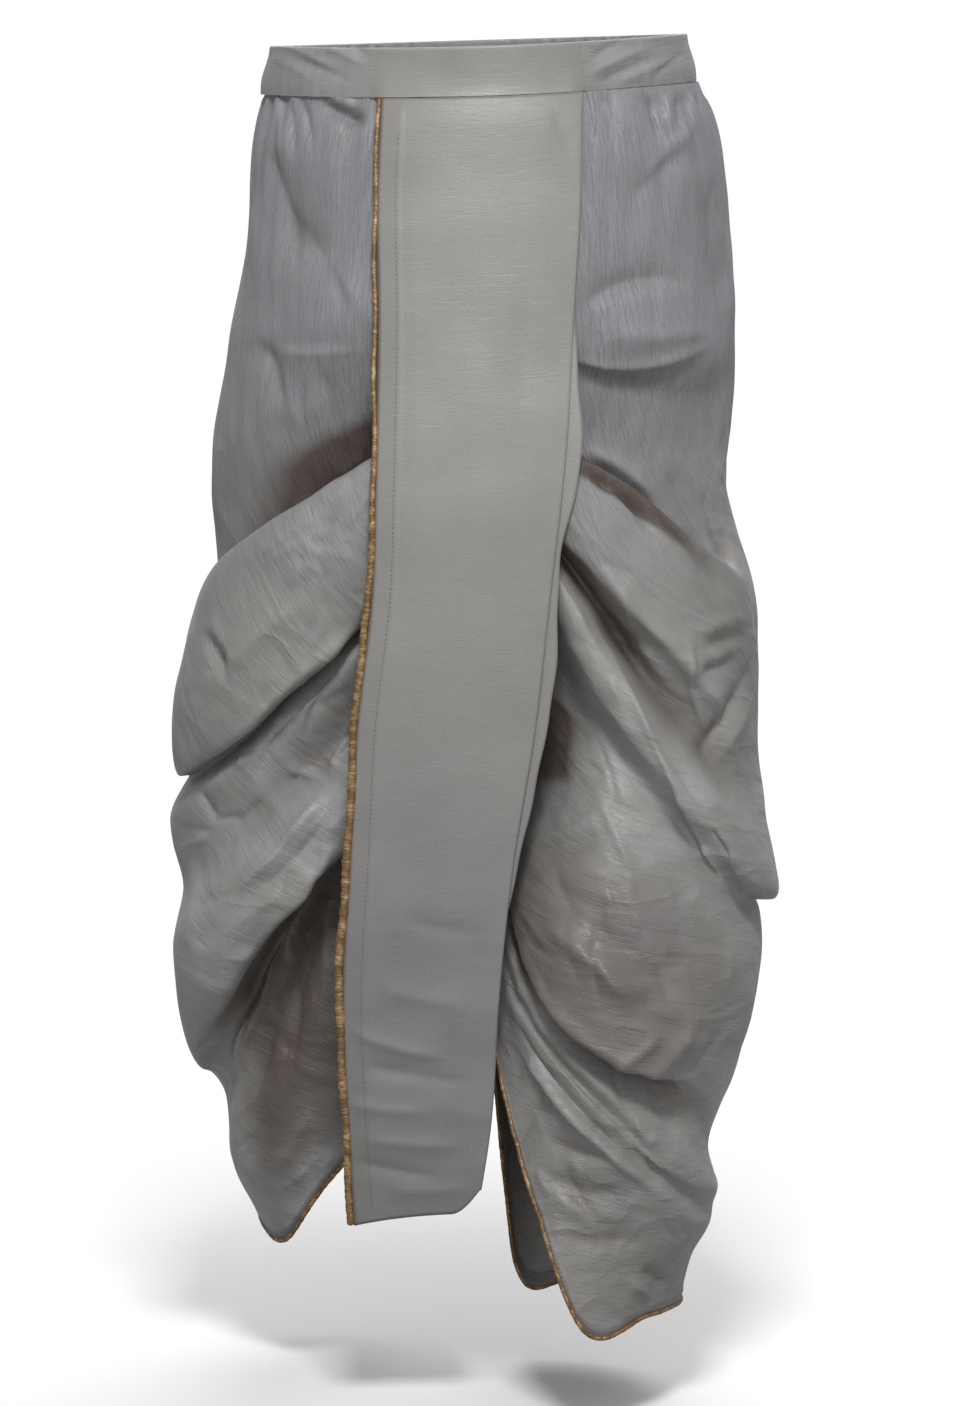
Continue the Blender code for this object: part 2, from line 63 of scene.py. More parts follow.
RIGHT_FORM = (
    (0.036, -0.166, 0.166, 0.106, 0.112),
    (0.100, -0.184, 0.184, 0.122, 0.118),
    (0.200, -0.190, 0.193, 0.139, 0.121),
    (0.300, -0.150, 0.191, 0.142, 0.116),
    (0.400, -0.085, 0.203, 0.148, 0.106),
    (0.500, -0.018, 0.208, 0.160, 0.092),
    (0.540, 0.002, 0.210, 0.166, 0.086),
    (0.600, 0.006, 0.212, 0.174, 0.078),
    (0.700, 0.000, 0.206, 0.190, 0.062),
    (0.800, -0.010, 0.186, 0.206, 0.042),
    (0.870, -0.018, 0.172, 0.216, 0.028),
    (0.960, -0.024, 0.146, 0.226, 0.012),
)
CROTCH_DROP = 0.53
LEGS_FREE_OVER = 0.12
# The centre seam's depth at each drop, back and front.
SEAM_COLUMNS = ("drop", "back", "front")
CENTRE_SEAM = (
    (0.036, -0.106, 0.112),
    (0.200, -0.137, 0.121),
    (0.300, -0.134, 0.118),
    (0.400, -0.118, 0.104),
    (0.470, -0.088, 0.074),
    (0.510, -0.050, 0.040),
    (0.545, -0.010, 0.002),
)
# Fold lines run round a leg from the back seam to the front seam. A row gives how far below the waist the
# line lies at the seams and at six places between them, and how far outside the ring its back half stands.
STATIONS = (0, 0.125, 0.25, 0.375, 0.5, 0.75, 0.875, 1)
FOLD_COLUMNS = ("line", "seam", "inner", "back", "outer", "side", "front", "front inner", "stand")
LEFT_FOLDS = (
    ("band seam", 0.0363, 0.0363, 0.0363, 0.0363, 0.0363, 0.0363, 0.0363, (0, 0, 0, 0)),
    ("below band", 0.072, 0.072, 0.072, 0.072, 0.072, 0.072, 0.072, (0.003, 0.004, 0.004, 0.003)),
    ("seat", 0.130, 0.134, 0.138, 0.142, 0.148, 0.138, 0.134, (0.001, 0.002, 0.000, 0.000)),
    ("hip swell", 0.185, 0.196, 0.206, 0.216, 0.228, 0.200, 0.192, (0.004, 0.007, 0.005, 0.003)),
    ("hip hollow", 0.222, 0.238, 0.256, 0.280, 0.310, 0.252, 0.234, (-0.002, -0.003, 0.001, 0.003)),
    ("pocket 1", 0.256, 0.291, 0.336, 0.384, 0.415, 0.330, 0.285, (-0.012, -0.020, -0.012, -0.004)),
    ("ridge 1", 0.272, 0.280, 0.322, 0.374, 0.424, 0.318, 0.276, (0.010, 0.022, 0.020, 0.002)),
    ("belly 1", 0.292, 0.308, 0.362, 0.424, 0.470, 0.352, 0.298, (0.026, 0.036, 0.034, 0.008)),
    ("under belly 1", 0.325, 0.346, 0.408, 0.482, 0.520, 0.400, 0.334, (0.028, 0.036, 0.036, 0.008)),
    ("lip 1", 0.348, 0.380, 0.452, 0.538, 0.558, 0.442, 0.366, (0.016, 0.024, 0.022, -0.002)),
    ("tuck 1", 0.356, 0.376, 0.444, 0.536, 0.560, 0.434, 0.366, (-0.002, 0.000, 0.002, -0.006)),
    ("ridge 2", 0.372, 0.396, 0.470, 0.560, 0.592, 0.462, 0.386, (0.014, 0.020, 0.014, 0.008)),
    ("crease 2", 0.405, 0.446, 0.530, 0.610, 0.646, 0.516, 0.430, (0.004, 0.004, 0.006, -0.003)),
    ("belly 2", 0.440, 0.486, 0.570, 0.664, 0.698, 0.560, 0.474, (0.022, 0.032, 0.028, 0.003)),
    ("lip 2", 0.486, 0.538, 0.618, 0.735, 0.792, 0.612, 0.530, (0.016, 0.026, 0.020, 0.006)),
    ("tuck 2", 0.500, 0.536, 0.610, 0.736, 0.796, 0.606, 0.534, (-0.010, -0.026, -0.014, 0.000)),
    ("knee hollow", 0.545, 0.590, 0.660, 0.765, 0.812, 0.664, 0.590, (-0.010, -0.024, -0.014, -0.006)),
    ("shin", 0.608, 0.660, 0.732, 0.802, 0.834, 0.738, 0.665, (0.002, -0.006, -0.002, -0.004)),
    ("ankle fold", 0.662, 0.722, 0.795, 0.856, 0.864, 0.808, 0.745, (0.004, 0.002, 0.006, 0.004)),
    ("hem", 0.700, 0.775, 0.853, 0.914, 0.909, 0.880, 0.835, (0.000, 0.002, 0.003, 0.002)),
)
RIGHT_FOLDS = (
    ("band seam", 0.0363, 0.0363, 0.0363, 0.0363, 0.0363, 0.0363, 0.0363, (0, 0, 0, 0)),
    ("below band", 0.072, 0.072, 0.072, 0.072, 0.072, 0.072, 0.072, (0.003, 0.004, 0.004, 0.003)),
    ("seat", 0.130, 0.134, 0.138, 0.142, 0.148, 0.138, 0.134, (0.001, 0.002, 0.002, 0.001)),
    ("seat fold", 0.208, 0.216, 0.226, 0.236, 0.212, 0.214, 0.210, (0.003, 0.006, 0.006, 0.001)),
    ("hip hollow", 0.232, 0.242, 0.256, 0.274, 0.285, 0.250, 0.240, (-0.004, -0.006, -0.004, 0.002)),
    ("pocket 1", 0.256, 0.296, 0.334, 0.394, 0.330, 0.322, 0.280, (-0.008, -0.012, -0.008, -0.006)),
    ("ridge 1", 0.272, 0.284, 0.318, 0.380, 0.418, 0.312, 0.276, (0.008, 0.016, 0.014, 0.006)),
    ("belly 1", 0.300, 0.316, 0.356, 0.430, 0.470, 0.348, 0.300, (0.022, 0.028, 0.022, 0.004)),
    ("lip 1", 0.330, 0.344, 0.404, 0.492, 0.520, 0.392, 0.340, (0.016, 0.022, 0.012, 0.002)),
    ("valley 1", 0.342, 0.346, 0.432, 0.528, 0.556, 0.424, 0.352, (-0.004, -0.006, 0.000, 0.004)),
    ("ridge 2", 0.352, 0.360, 0.474, 0.592, 0.612, 0.462, 0.368, (0.010, 0.032, 0.028, 0.010)),
    ("lip 2", 0.372, 0.385, 0.500, 0.618, 0.636, 0.490, 0.392, (0.010, 0.030, 0.030, 0.012)),
    ("hollow 2", 0.410, 0.450, 0.520, 0.628, 0.634, 0.520, 0.450, (-0.026, 0.006, 0.012, -0.008)),
    ("ledge 2", 0.460, 0.545, 0.548, 0.650, 0.652, 0.560, 0.530, (-0.012, 0.010, 0.016, 0.002)),
    ("belly 3", 0.505, 0.600, 0.640, 0.690, 0.700, 0.640, 0.590, (0.016, 0.032, 0.022, 0.004)),
    ("lip 3", 0.560, 0.668, 0.738, 0.758, 0.770, 0.720, 0.650, (0.016, 0.026, 0.012, 0.002)),
    ("tuck 3", 0.575, 0.668, 0.734, 0.786, 0.832, 0.724, 0.664, (-0.004, -0.010, -0.002, -0.008)),
    ("ridge 3", 0.600, 0.696, 0.768, 0.836, 0.858, 0.762, 0.700, (0.010, 0.014, 0.014, 0.006)),
    ("crease 3", 0.612, 0.708, 0.782, 0.848, 0.870, 0.776, 0.714, (0.004, 0.006, 0.008, 0.006)),
    ("ridge 4", 0.624, 0.722, 0.798, 0.864, 0.880, 0.792, 0.730, (0.008, 0.010, 0.012, 0.006)),
    ("shin", 0.650, 0.752, 0.850, 0.896, 0.905, 0.850, 0.800, (0.000, 0.000, 0.002, 0.000)),
    ("hem", 0.690, 0.820, 0.938, 0.937, 0.943, 0.958, 0.938, (0.000, 0.002, -0.002, 0.002)),
)
FRONT_SHARE = 0.7
# Strips beside a seam, as shares of the way round a leg: pressed flat, where folds run level into it, and
# drawn to the line on which the legs are sewn together. From STAND_FULL on a fold stands out in full.
SEAM_FLAT = 1 / 32
SEAM_LEVEL = 0.14
SEAM_DRAWN = 0.24
STAND_FULL = 0.4


def column(table, columns, name):
    return np.array([row[columns.index(name)] for row in table], float)


def smooth_through(stations, values, at):
    """Cubic curve through values at uneven stations. Its slope at each is a mean of the chords beside it."""
    stations, values = np.asarray(stations, float), np.asarray(values, float)
    widths = np.diff(stations)
    chords = np.diff(values) / widths
    slopes = np.empty_like(values)
    slopes[0], slopes[-1] = chords[0], chords[-1]
    slopes[1:-1] = (chords[:-1] * widths[1:] + chords[1:] * widths[:-1]) / (widths[1:] + widths[:-1])
    at = np.clip(np.asarray(at, float), stations[0], stations[-1])
    i = np.clip(np.searchsorted(stations, at, side="right") - 1, 0, len(stations) - 2)
    h = widths[i]
    t = (at - stations[i]) / h
    return (
        values[i] * (2 * t**3 - 3 * t**2 + 1)
        + values[i + 1] * (3 * t**2 - 2 * t**3)
        + slopes[i] * h * (t**3 - 2 * t**2 + t)
        + slopes[i + 1] * h * (t**3 - t**2)
    )


def smooth_step(low, high, at):
    """0 below low, 1 above high, and an S-curve between."""
    t = np.clip((np.asarray(at, float) - low) / (high - low), 0, 1)
    return t * t * (3 - 2 * t)


def unit(vectors):
    return vectors / np.maximum(np.linalg.norm(vectors, axis=-1, keepdims=True), 1e-12)


def spread(*parts):
    """The parts as the last axis of one array, each first repeated to the size that fits them all."""
    return np.stack(np.broadcast_arrays(*parts), -1)


def waist_rise(x, y, drop):
    """How much higher than level the worn waist sits at a point; it fades out over the hips."""
    dip = WAIST_DIP * (np.clip(-y, 0, None) / BAND_HALF_DEPTH) ** 2
    return (WAIST_TILT * x - dip) * (1 - smooth_step(BAND_HEIGHT, WAIST_SETTLED_DROP, drop))


def ring_points(form, side, across, drop, outside):
    """Places on a leg's ring, at `across` from the back seam (0) round the outer side to the front seam (1).

    The ring is an ellipse with half-axes from the form table. Above the crotch it is cut open at the middle
    plane and its ends are drawn to the centre seam; below, it is whole. A place is moved out by `outside`.
    """
    drops = column(form, FORM_COLUMNS, "drop")
    inner, outer, back, front = (
        smooth_through(drops, column(form, FORM_COLUMNS, name), drop) for name in FORM_COLUMNS[1:]
    )
    middle, half = (outer + inner) / 2, (outer - inner) / 2
    half_depth, depth_middle = (front + back) / 2, (front - back) / 2
    start = np.clip(middle / half, -1, 1)
    openness = np.sqrt(1 - start**2)
    turn = 1 - np.abs(1 - 2 * across)
    opened = np.sin(np.pi / 2 * (turn / 3 + 2 * turn**2 / 3))
    closed = (1 - np.cos(np.pi * turn)) / 2
    share = closed * (1 - openness) + opened * openness
    cosine = np.clip(start + (-1 - start) * share, -1, 1)
    sine = np.sqrt(1 - cosine**2) * np.where(across < 0.5, 1, -1)
    x, y = middle - half * cosine, depth_middle - half_depth * sine
    normal = unit(np.stack([-cosine * half_depth, -sine * half], -1))
    x = x + outside * normal[..., 0] * smooth_step(0, STAND_FULL, share)
    y = y + outside * normal[..., 1]
    seam_drops = column(CENTRE_SEAM, SEAM_COLUMNS, "drop")
    sewn = 1 - smooth_step(CROTCH_DROP, CROTCH_DROP + LEGS_FREE_OVER, drop)
    for name, end, sign in (("back", 0, 1), ("front", 1, -1)):
        seam = smooth_through(seam_drops, column(CENTRE_SEAM, SEAM_COLUMNS, name), drop)
        edge = depth_middle - sign * half_depth * openness
        near = 1 - smooth_step(SEAM_FLAT, SEAM_DRAWN, np.abs(across - end))
        y = y + (seam - edge) * near * sewn
    return np.stack([side * x, y, waist_rise(side * x, y, drop) - drop], -1)


def fold_rows(form, folds, side, across):
    """One row of places for each fold line. The front half's folds stand out less than the back half's."""
    inside = np.minimum(across, 1 - across)
    settled = np.clip(inside - SEAM_FLAT * (1 - smooth_step(SEAM_FLAT, SEAM_LEVEL, inside)), 0, 0.5)
    settled = np.where(across < 0.5, settled, 1 - settled)
    rows = []
    for fold in folds:
        line = dict(zip(FOLD_COLUMNS, fold))
        inner, back = line["stand"][:2]
        stand = (0, *line["stand"], FRONT_SHARE * back, FRONT_SHARE * inner, 0)
        drop = smooth_through(STATIONS, [line[name] for name in (*FOLD_COLUMNS[1:-1], "seam")], settled)
        outside = smooth_through(STATIONS, stand, settled)
        rows.append(ring_points(form, side, across, drop, outside))
    return np.array(rows)


def through_rows(rows, down):
    """Places `down` the rows, counted in rows, on a centripetal Catmull-Rom curve through each column."""
    padded = np.concatenate([[2 * rows[0] - rows[1]], rows, [2 * rows[-1] - rows[-2]]])
    spans = np.sqrt(np.linalg.norm(np.diff(padded, axis=0), axis=-1, keepdims=True)) + 1e-6
    k = np.clip(down.astype(int), 0, len(rows) - 2)
    t = (down - k)[:, None, None]
    before, start, end, after = (padded[k + i] for i in range(4))
    near, here, far = (spans[k + i] for i in range(3))
    leave = ((start - before) / near - (end - before) / (near + here) + (end - start) / here) * here
    arrive = ((end - start) / here - (after - start) / (here + far) + (after - end) / far) * here
    return (
        start * (2 * t**3 - 3 * t**2 + 1)
        + end * (3 * t**2 - 2 * t**3)
        + leave * (t**3 - 2 * t**2 + t)
        + arrive * (t**3 - t**2)
    )


def lengths(points, axis):
    """Running length of cloth along the grid's rows or columns, starting at 0."""
    steps = np.linalg.norm(np.diff(points, axis=axis), axis=-1)
    start = np.zeros_like(steps[:1] if axis == 0 else steps[:, :1])
    return np.concatenate([start, np.cumsum(steps, axis)], axis)


def outwards(points, side):
    """Unit normals of a leg's sheet, away from the leg: the cross product of its slopes around and down."""
    return unit(np.cross(np.gradient(points, axis=1), np.gradient(points, axis=0)) * -side)


# Creases, pleats and rolls seen from behind (or from the front), in millimetres. Each runs between two places
# and bows sideways between them. It is a ridge where its height is above 0, and a trough where it is below.
# The columns are start x, start z, end x, end z, bow, width and height.
LEFT_BACK = (
    (-166, -70, -134, -180, 6, 9, -3.0),
    (-152, -120, -88, -222, 10, 14, -2.8),
    (-128, -150, -78, -216, 6, 12, 1.6),
    (-172, -112, -168, -200, 3, 8, 2.0),
    (-160, -229, -80, -225, -3, 4, 0.9),
    (-158, -222, -84, -218, -2, 8, -0.7),
    (-166, -218, -146, -276, 4, 9, -3.2),
    (-148, -240, -132, -300, 2, 6, 1.2),
    (-118, -236, -104, -296, 2, 6, -1.2),
    (-141, -40, -138, -92, 1, 3, -1.6),
    (-134, -40, -124, -84, 2, 3, -1.5),
    (-150, -40, -150, -96, 1, 3, 1.4),
    (-158, -40, -162, -88, 1, 3.5, -1.4),
    (-118, -44, -78, -62, -2, 6, -4.2),
    (-120, -36, -82, -50, -2, 5, 2.2),
    (-209, -434, -184, -474, 2, 5, -3.4),
    (-202, -428, -178, -466, 2, 5, 1.6),
    (-217, -556, -197, -587, 2, 5, -3.0),
    (-84, -424, -164, -526, -6, 4, 3.4),
    (-95, -444, -172, -560, -8, 10, -4.0),
    (-147, -536, -110, -545, -3, 3, 2.4),
    (-112, -545, -88, -508, 3, 3, 2.2),
    (-110, -545, -192, -640, 5, 5, 3.0),
    (-104, -560, -180, -640, 6, 9, -2.6),
    (-162, -722, -190, -796, -3, 6, 3.0),
    (-150, -730, -172, -812, -3, 7, -2.6),
    (-118, -640, -126, -760, 6, 9, 2.0),
    (-136, -690, -150, -800, 5, 7, -2.0),
    (-104, -700, -112, -820, 4, 8, 1.6),
    (-128, -800, -160, -862, 4, 8, 2.0),
    (-92, -352, -176, -398, -5, 8, 1.4),
    (-120, -404, -206, -500, -10, 9, 1.8),
    (-128, -620, -206, -690, -8, 9, 1.8),
    (-92, -430, -206, -546, -5, 6, 4.4),
    (-98, -588, -212, -762, -8, 6, 5.4),
    (-142, -654, -190, -806, 3, 6, 5.0),
    (-156, -640, -206, -770, 3, 8, -2.6),
)
RIGHT_BACK = (
    (56, -228, 186, -218, -16, 5, 2.8),
    (60, -242, 180, -236, -13, 9, -1.0),
    (84, -214, 186, -212, -5, 12, 2.4),
    (70, -198, 168, -180, 15, 10, -3.2),
    (74, -297, 142, -350, 5, 6, 4.0),
    (74, -309, 138, -366, 5, 6, -5.0),
    (92, -316, 128, -356, -2, 3, 1.8),
    (176, -96, 186, -214, -4, 9, -3.0),
    (187, -140, 191, -300, -2, 4, -2.4),
    (194, -150, 197, -320, -2, 4, 2.2),
    (181, -200, 184, -318, -2, 4, 1.8),
    (174, -232, 184, -330, -4, 5, -2.0),
    (200, -340, 214, -420, -4, 5, -2.4),
    (186, -352, 206, -420, -3, 4, 1.8),
    (168, -330, 190, -392, -3, 5, -1.8),
    (127, -40, 134, -78, 1, 3, -2.0),
    (138, -38, 142, -70, 1, 3, 1.8),
    (147, -38, 151, -74, 1, 3, -2.0),
    (156, -38, 162, -72, 1, 3, 1.6),
    (120, -110, 168, -58, 4, 9, 1.8),
    (108, -122, 166, -76, 4, 10, -1.8),
    (76, -378, 156, -500, 3, 8, 3.2),
    (60, -376, 190, -640, 2, 3.5, 4.0),
    (72, -380, 196, -628, 4, 9, -3.6),
    (160, -434, 212, -428, 3, 3.5, 2.2),
    (158, -432, 172, -512, -8, 3, 2.2),
    (164, -444, 206, -442, 2, 6, -2.4),
    (121, -492, 172, -512, -8, 3, 2.2),
    (156, -458, 206, -446, 2, 3, 2.0),
    (158, -466, 200, -456, 2, 5, -2.0),
    (212, -448, 152, -536, 5, 7, -4.4),
    (218, -460, 170, -538, 5, 6, 2.4),
    (168, -573, 186, -603, 2, 4, -2.6),
    (160, -586, 178, -612, 2, 4, 1.6),
    (29, -596, 98, -558, -3, 3.5, 3.0),
    (34, -606, 100, -570, -3, 6, -3.2),
    (41, -640, 120, -704, 6, 13, 5.0),
    (64, -634, 150, -700, 8, 12, -3.4),
    (30, -640, 62, -712, -4, 8, -2.0),
    (20, -701, 179, -854, -10, 4, 3.4),
    (17, -710, 152, -838, -10, 3, -3.6),
    (15, -720, 165, -862, -10, 4, 3.2),
    (96, -742, 136, -716, -5, 4, 2.4),
    (110, -760, 168, -700, -8, 9, 2.4),
    (132, -768, 186, -716, -6, 7, -2.2),
    (44, -800, 108, -812, -4, 6, -2.0),
    (40, -826, 118, -842, -4, 6, -2.2),
    (48, -842, 116, -858, -4, 5, 1.8),
    (56, -868, 128, -876, -3, 6, -2.0),
    (118, -898, 142, -924, 3, 5, -2.0),
    (74, -366, 204, -520, 2, 6, 3.6),
    (22, -668, 172, -764, -17, 6, 3.8),
    (108, -906, 128, -928, 2, 4, 2.2),
)
# Painted shade between fold lines, counted in lines from the top, each with how softly the dark starts and
# ends there. It lies between two shares of the way round, with a fade. Depth is how dark the painted shade
# is, and below 0 it paints light. The columns are first line, soft, last line, soft, start, end, fade and
# depth.
LEFT_POCKET_SHADE = (
    (4.22, 0.22, 5.97, 0.06, 0.05, 0.42, 0.14, 1.20),
    (14.3, 0.1, 19.2, 1.8, 0.00, 0.40, 0.07, 0.90),
    (10.0, 0.2, 10.9, 0.5, 0.10, 0.42, 0.12, 0.50),
)
RIGHT_POCKET_SHADE = (
    (3.6, 0.5, 5.0, 0.1, 0.10, 0.46, 0.08, -0.50),
    (5.9, 0.05, 6.6, 0.18, 0.10, 0.37, 0.08, 1.30),
    (5.5, 1.0, 8.0, 0.8, 0.37, 0.58, 0.06, 0.28),
    (9.4, 0.8, 12.8, 0.8, 0.42, 0.62, 0.08, 0.18),
    (8.05, 0.1, 9.7, 0.5, 0.00, 0.30, 0.12, 1.00),
    (10.6, 0.4, 12.3, 0.2, 0.08, 0.42, 0.10, -0.50),
    (12.2, 0.1, 13.05, 0.2, 0.00, 0.20, 0.03, 1.00),
    (13.2, 0.8, 15.3, 0.5, 0.00, 0.42, 0.15, 0.56),
    (15.4, 0.2, 16.8, 0.4, 0.04, 0.19, 0.05, 0.80),
    (15.2, 0.2, 16.5, 0.6, 0.10, 0.38, 0.12, 0.40),
    (16.2, 0.5, 20.5, 2.0, 0.04, 0.36, 0.12, 0.24),
    (19.0, 1.5, 23.0, 0.1, -0.2, 0.60, 0.10, 0.28),
    (19.2, 0.5, 23.0, 0.1, 0.88, 1.20, 0.07, 0.65),
)
LEFT_FRONT = (
    (-44, -60, -70, -150, 4, 9, -2.6),
    (-96, -52, -128, -168, 6, 9, 2.4),
    (-132, -60, -152, -150, 4, 8, -2.4),
    (-30, -196, -92, -236, -4, 8, -2.8),
    (-36, -184, -100, -226, -4, 8, 2.4),
    (-60, -392, -140, -468, -6, 6, 2.8),
    (-66, -406, -146, -486, -6, 8, -2.8),
    (-150, -520, -206, -572, 4, 7, -2.6),
    (-52, -560, -132, -652, -6, 5, 2.6),
    (-60, -574, -140, -668, -6, 8, -2.6),
    (-110, -700, -130, -808, 4, 8, 2.2),
    (-76, -690, -84, -800, 3, 8, -2.0),
)
RIGHT_FRONT = (
    (40, -58, 62, -156, -4, 9, -2.6),
    (92, -54, 118, -170, -6, 9, 2.4),
    (136, -62, 156, -160, -4, 8, -2.2),
    (28, -200, 96, -240, 4, 8, -2.8),
    (36, -186, 104, -228, 4, 8, 2.4),
    (52, -372, 132, -462, 6, 6, 2.8),
    (60, -388, 138, -480, 6, 8, -2.8),
    (140, -512, 196, -560, -4, 7, -2.6),
    (46, -586, 122, -668, 6, 5, 2.6),
    (54, -600, 130, -684, 6, 8, -2.6),
    (70, -730, 120, -806, 5, 6, 2.4),
    (88, -722, 140, -800, 5, 8, -2.2),
    (60, -840, 74, -920, 3, 8, -2.2),
)


def creased(points, facing, table, depth=1):
    """How far the creases of a table move each place out, `depth` times as much as their heights say.

    Across the line between its two ends a crease falls away on both sides as a hyperbola turns into its two
    straight arms, so its crest is crisp. The line bows as a parabola. The crease swells from both ends to its
    middle, and fades where `facing` falls to 0 because the cloth turns away.
    """
    x, z = points[..., 0] * 1000, points[..., 2] * 1000
    moved = np.zeros(x.shape)
    for x0, z0, x1, z1, bow, width, height in table:
        run = np.hypot(x1 - x0, z1 - z0)
        along = ((x - x0) * (x1 - x0) + (z - z0) * (z1 - z0)) / run**2
        off = ((z - z0) * (x1 - x0) - (x - x0) * (z1 - z0)) / run
        bowed = (off - 4 * bow * along * (1 - along)) / width
        ends = smooth_step(0, 0.3, along) * (1 - smooth_step(0.6, 1, along))
        moved += height * np.exp(0.3 - np.sqrt(0.09 + 1.7 * bowed**2)) * ends
    return moved * depth / 1000 * facing


def scattered(count, xs, zs, lean, seed):
    """Small seeded creases, as rows for a crease table, over a range of x and z. They lean about one way."""
    dice = np.random.default_rng(seed)
    x, z = dice.uniform(*xs, count), dice.uniform(*zs, count)
    angle, run = np.radians(dice.normal(lean, 24, count)), dice.uniform(18, 84, count)
    bow, width = dice.normal(0, 2.5, count), dice.uniform(2.4, 5.4, count)
    height = dice.choice([-1, 1], count) * dice.uniform(0.4, 1.4, count)
    return np.stack([x, z, x + run * np.cos(angle), z + run * np.sin(angle), bow, width, height], 1)


def blurred(field, reach):
    """A grid of places averaged over `reach` rows and as many columns to each side."""
    for axis in (0, 1):
        padding = [(0, 0)] * field.ndim
        padding[axis] = (reach + 1, reach)
        total = np.cumsum(np.pad(field, padding, mode="edge"), axis)
        field = np.take(total, range(2 * reach + 1, total.shape[axis]), axis)
        field = (field - np.take(total, range(field.shape[axis]), axis)) / (2 * reach + 1)
    return field


# Painted shade where the cloth sinks: how far around a place its sinking is measured, in rows and columns of
# the sheet, how many metres deep counts in full there, and how dark the painted shade is.
RECESS_SHADE_REACHES = ((12, 0.013, 0.56), (38, 0.034, 0.46))


def painted_recess_shade(points, normal, down, across, pocket_shade):
    """Painted shade, 0 on open cloth to 1 deep in a pocket, where shade falls.

    It is how far a place lies inside the average of the cloth around it, over a short and a long reach. To
    this come the listed pocket rows of painted shade, each a product of steps down the sheet and across it.
    One with a depth below 0 takes away from the rest, as painted light.
    """
    hollow = 0
    for reach, full_depth, darkness in RECESS_SHADE_REACHES:
        sunk = ((blurred(points, reach) - points) * normal).sum(-1) / full_depth
        hollow = hollow + np.clip(sunk, 0, 1) * darkness
    for first, soft_first, last, soft_last, start, end, fade, depth in pocket_shade:
        rows = smooth_step(first, first + soft_first, down)
        rows = rows * (1 - smooth_step(last - soft_last, last, down))
        around = smooth_step(start - fade, start + 0.01, across)
        around = around * (1 - smooth_step(end - fade, end, across))
        hollow = hollow + depth * rows[:, None] * around
    return np.clip(hollow, 0, 1)


CRUMPLE_WAVES = 24


def crumple(s, t, size, seed):
    """Small uneven rumples from about -1 to 1: a sum of waves in seeded directions, `size` metres or longer.

    The sum of this many waves seldom passes 7, so it is divided by that.
    """
    dice = np.random.default_rng(seed)
    turn, phase = dice.uniform(0, 2 * np.pi, (2, CRUMPLE_WAVES))
    count = 2 * np.pi / (size * dice.uniform(1, 2.6, CRUMPLE_WAVES))
    waves = np.zeros(s.shape)
    for angle, start, rate in zip(turn, phase, count):
        waves += np.sin(rate * (s * np.cos(angle) + t * np.sin(angle)) + start)
    return waves / 7


def evened(rows, count):
    """Where `count` rows lie down the table's rows, to be evenly spaced along the cloth on average."""
    trial = np.linspace(0, len(rows) - 1, 12 * (len(rows) - 1) + 1)
    run = lengths(through_rows(rows, trial), 0).mean(1)
    return np.interp(np.linspace(0, run[-1], count), run, trial)


# The streaks of the slubs turn with the drape, in degrees: upright over the hips, slanting over the cowls and
# level at the hem.
STREAK_COLUMNS = ("drop", "left turn", "right turn")
STREAKS = (
    (0.10, 92, 92),
    (0.26, 84, 80),
    (0.34, 60, 58),
    (0.46, 46, 32),
    (0.62, 34, 16),
    (0.80, 12, 8),
    (0.95, 8, 6),
)
LEG_BACK_COLUMNS = 196
LEG_FRONT_COLUMNS = 70
LEG_ROWS = 356
LEG_GATHERS = 20
CREASE_DEPTH = 1.8
GATHER_HEIGHT = 0.0016
RUMPLE_HEIGHT = 0.0007
HEM_TURN_RADIUS = 0.0006
HEM_FACING = 0.009
HEM_FACING_STEP = 0.0004
# Painted shade on the last rows of a leg, where the cloth meets the piping and turns under behind it.
PAINTED_HEM_SHADE = (0.25, 0.75, 0.75, 0.6, 0.5, 0.4, 0.3, 0.3)


def weave_map(points, across, turns, side):
    """Cloth coordinates in metres, across the streaks and along them.

    A place is its share of the way round times the row's mean length, and its drop. Both are turned by the
    table's angle, which is summed down the leg so that streaks curve without a break.
    """
    around = side * (across - 0.25)[None] * lengths(points, 1)[:, -1].mean()
    drop = -points[..., 2]
    drops = np.linspace(0, 1, 400)
    given_at, given = (column(STREAKS, STREAK_COLUMNS, name) for name in ("drop", turns))
    angles = np.radians(np.interp(drops, given_at, given))
    angle = np.interp(drop, drops, angles)
    level = np.interp(drop, drops, np.cumsum(np.cos(angles)) * drops[1])
    upright = np.interp(drop, drops, np.cumsum(np.sin(angles)) * drops[1])
    return np.stack([around * np.sin(angle) - level, around * np.cos(angle) + upright], -1)


def new_object(name, data):
    """A new object of the scene, which shows this mesh, light or camera."""
    made = bpy.data.objects.new(name, data)
    bpy.context.scene.collection.objects.link(made)
    return made


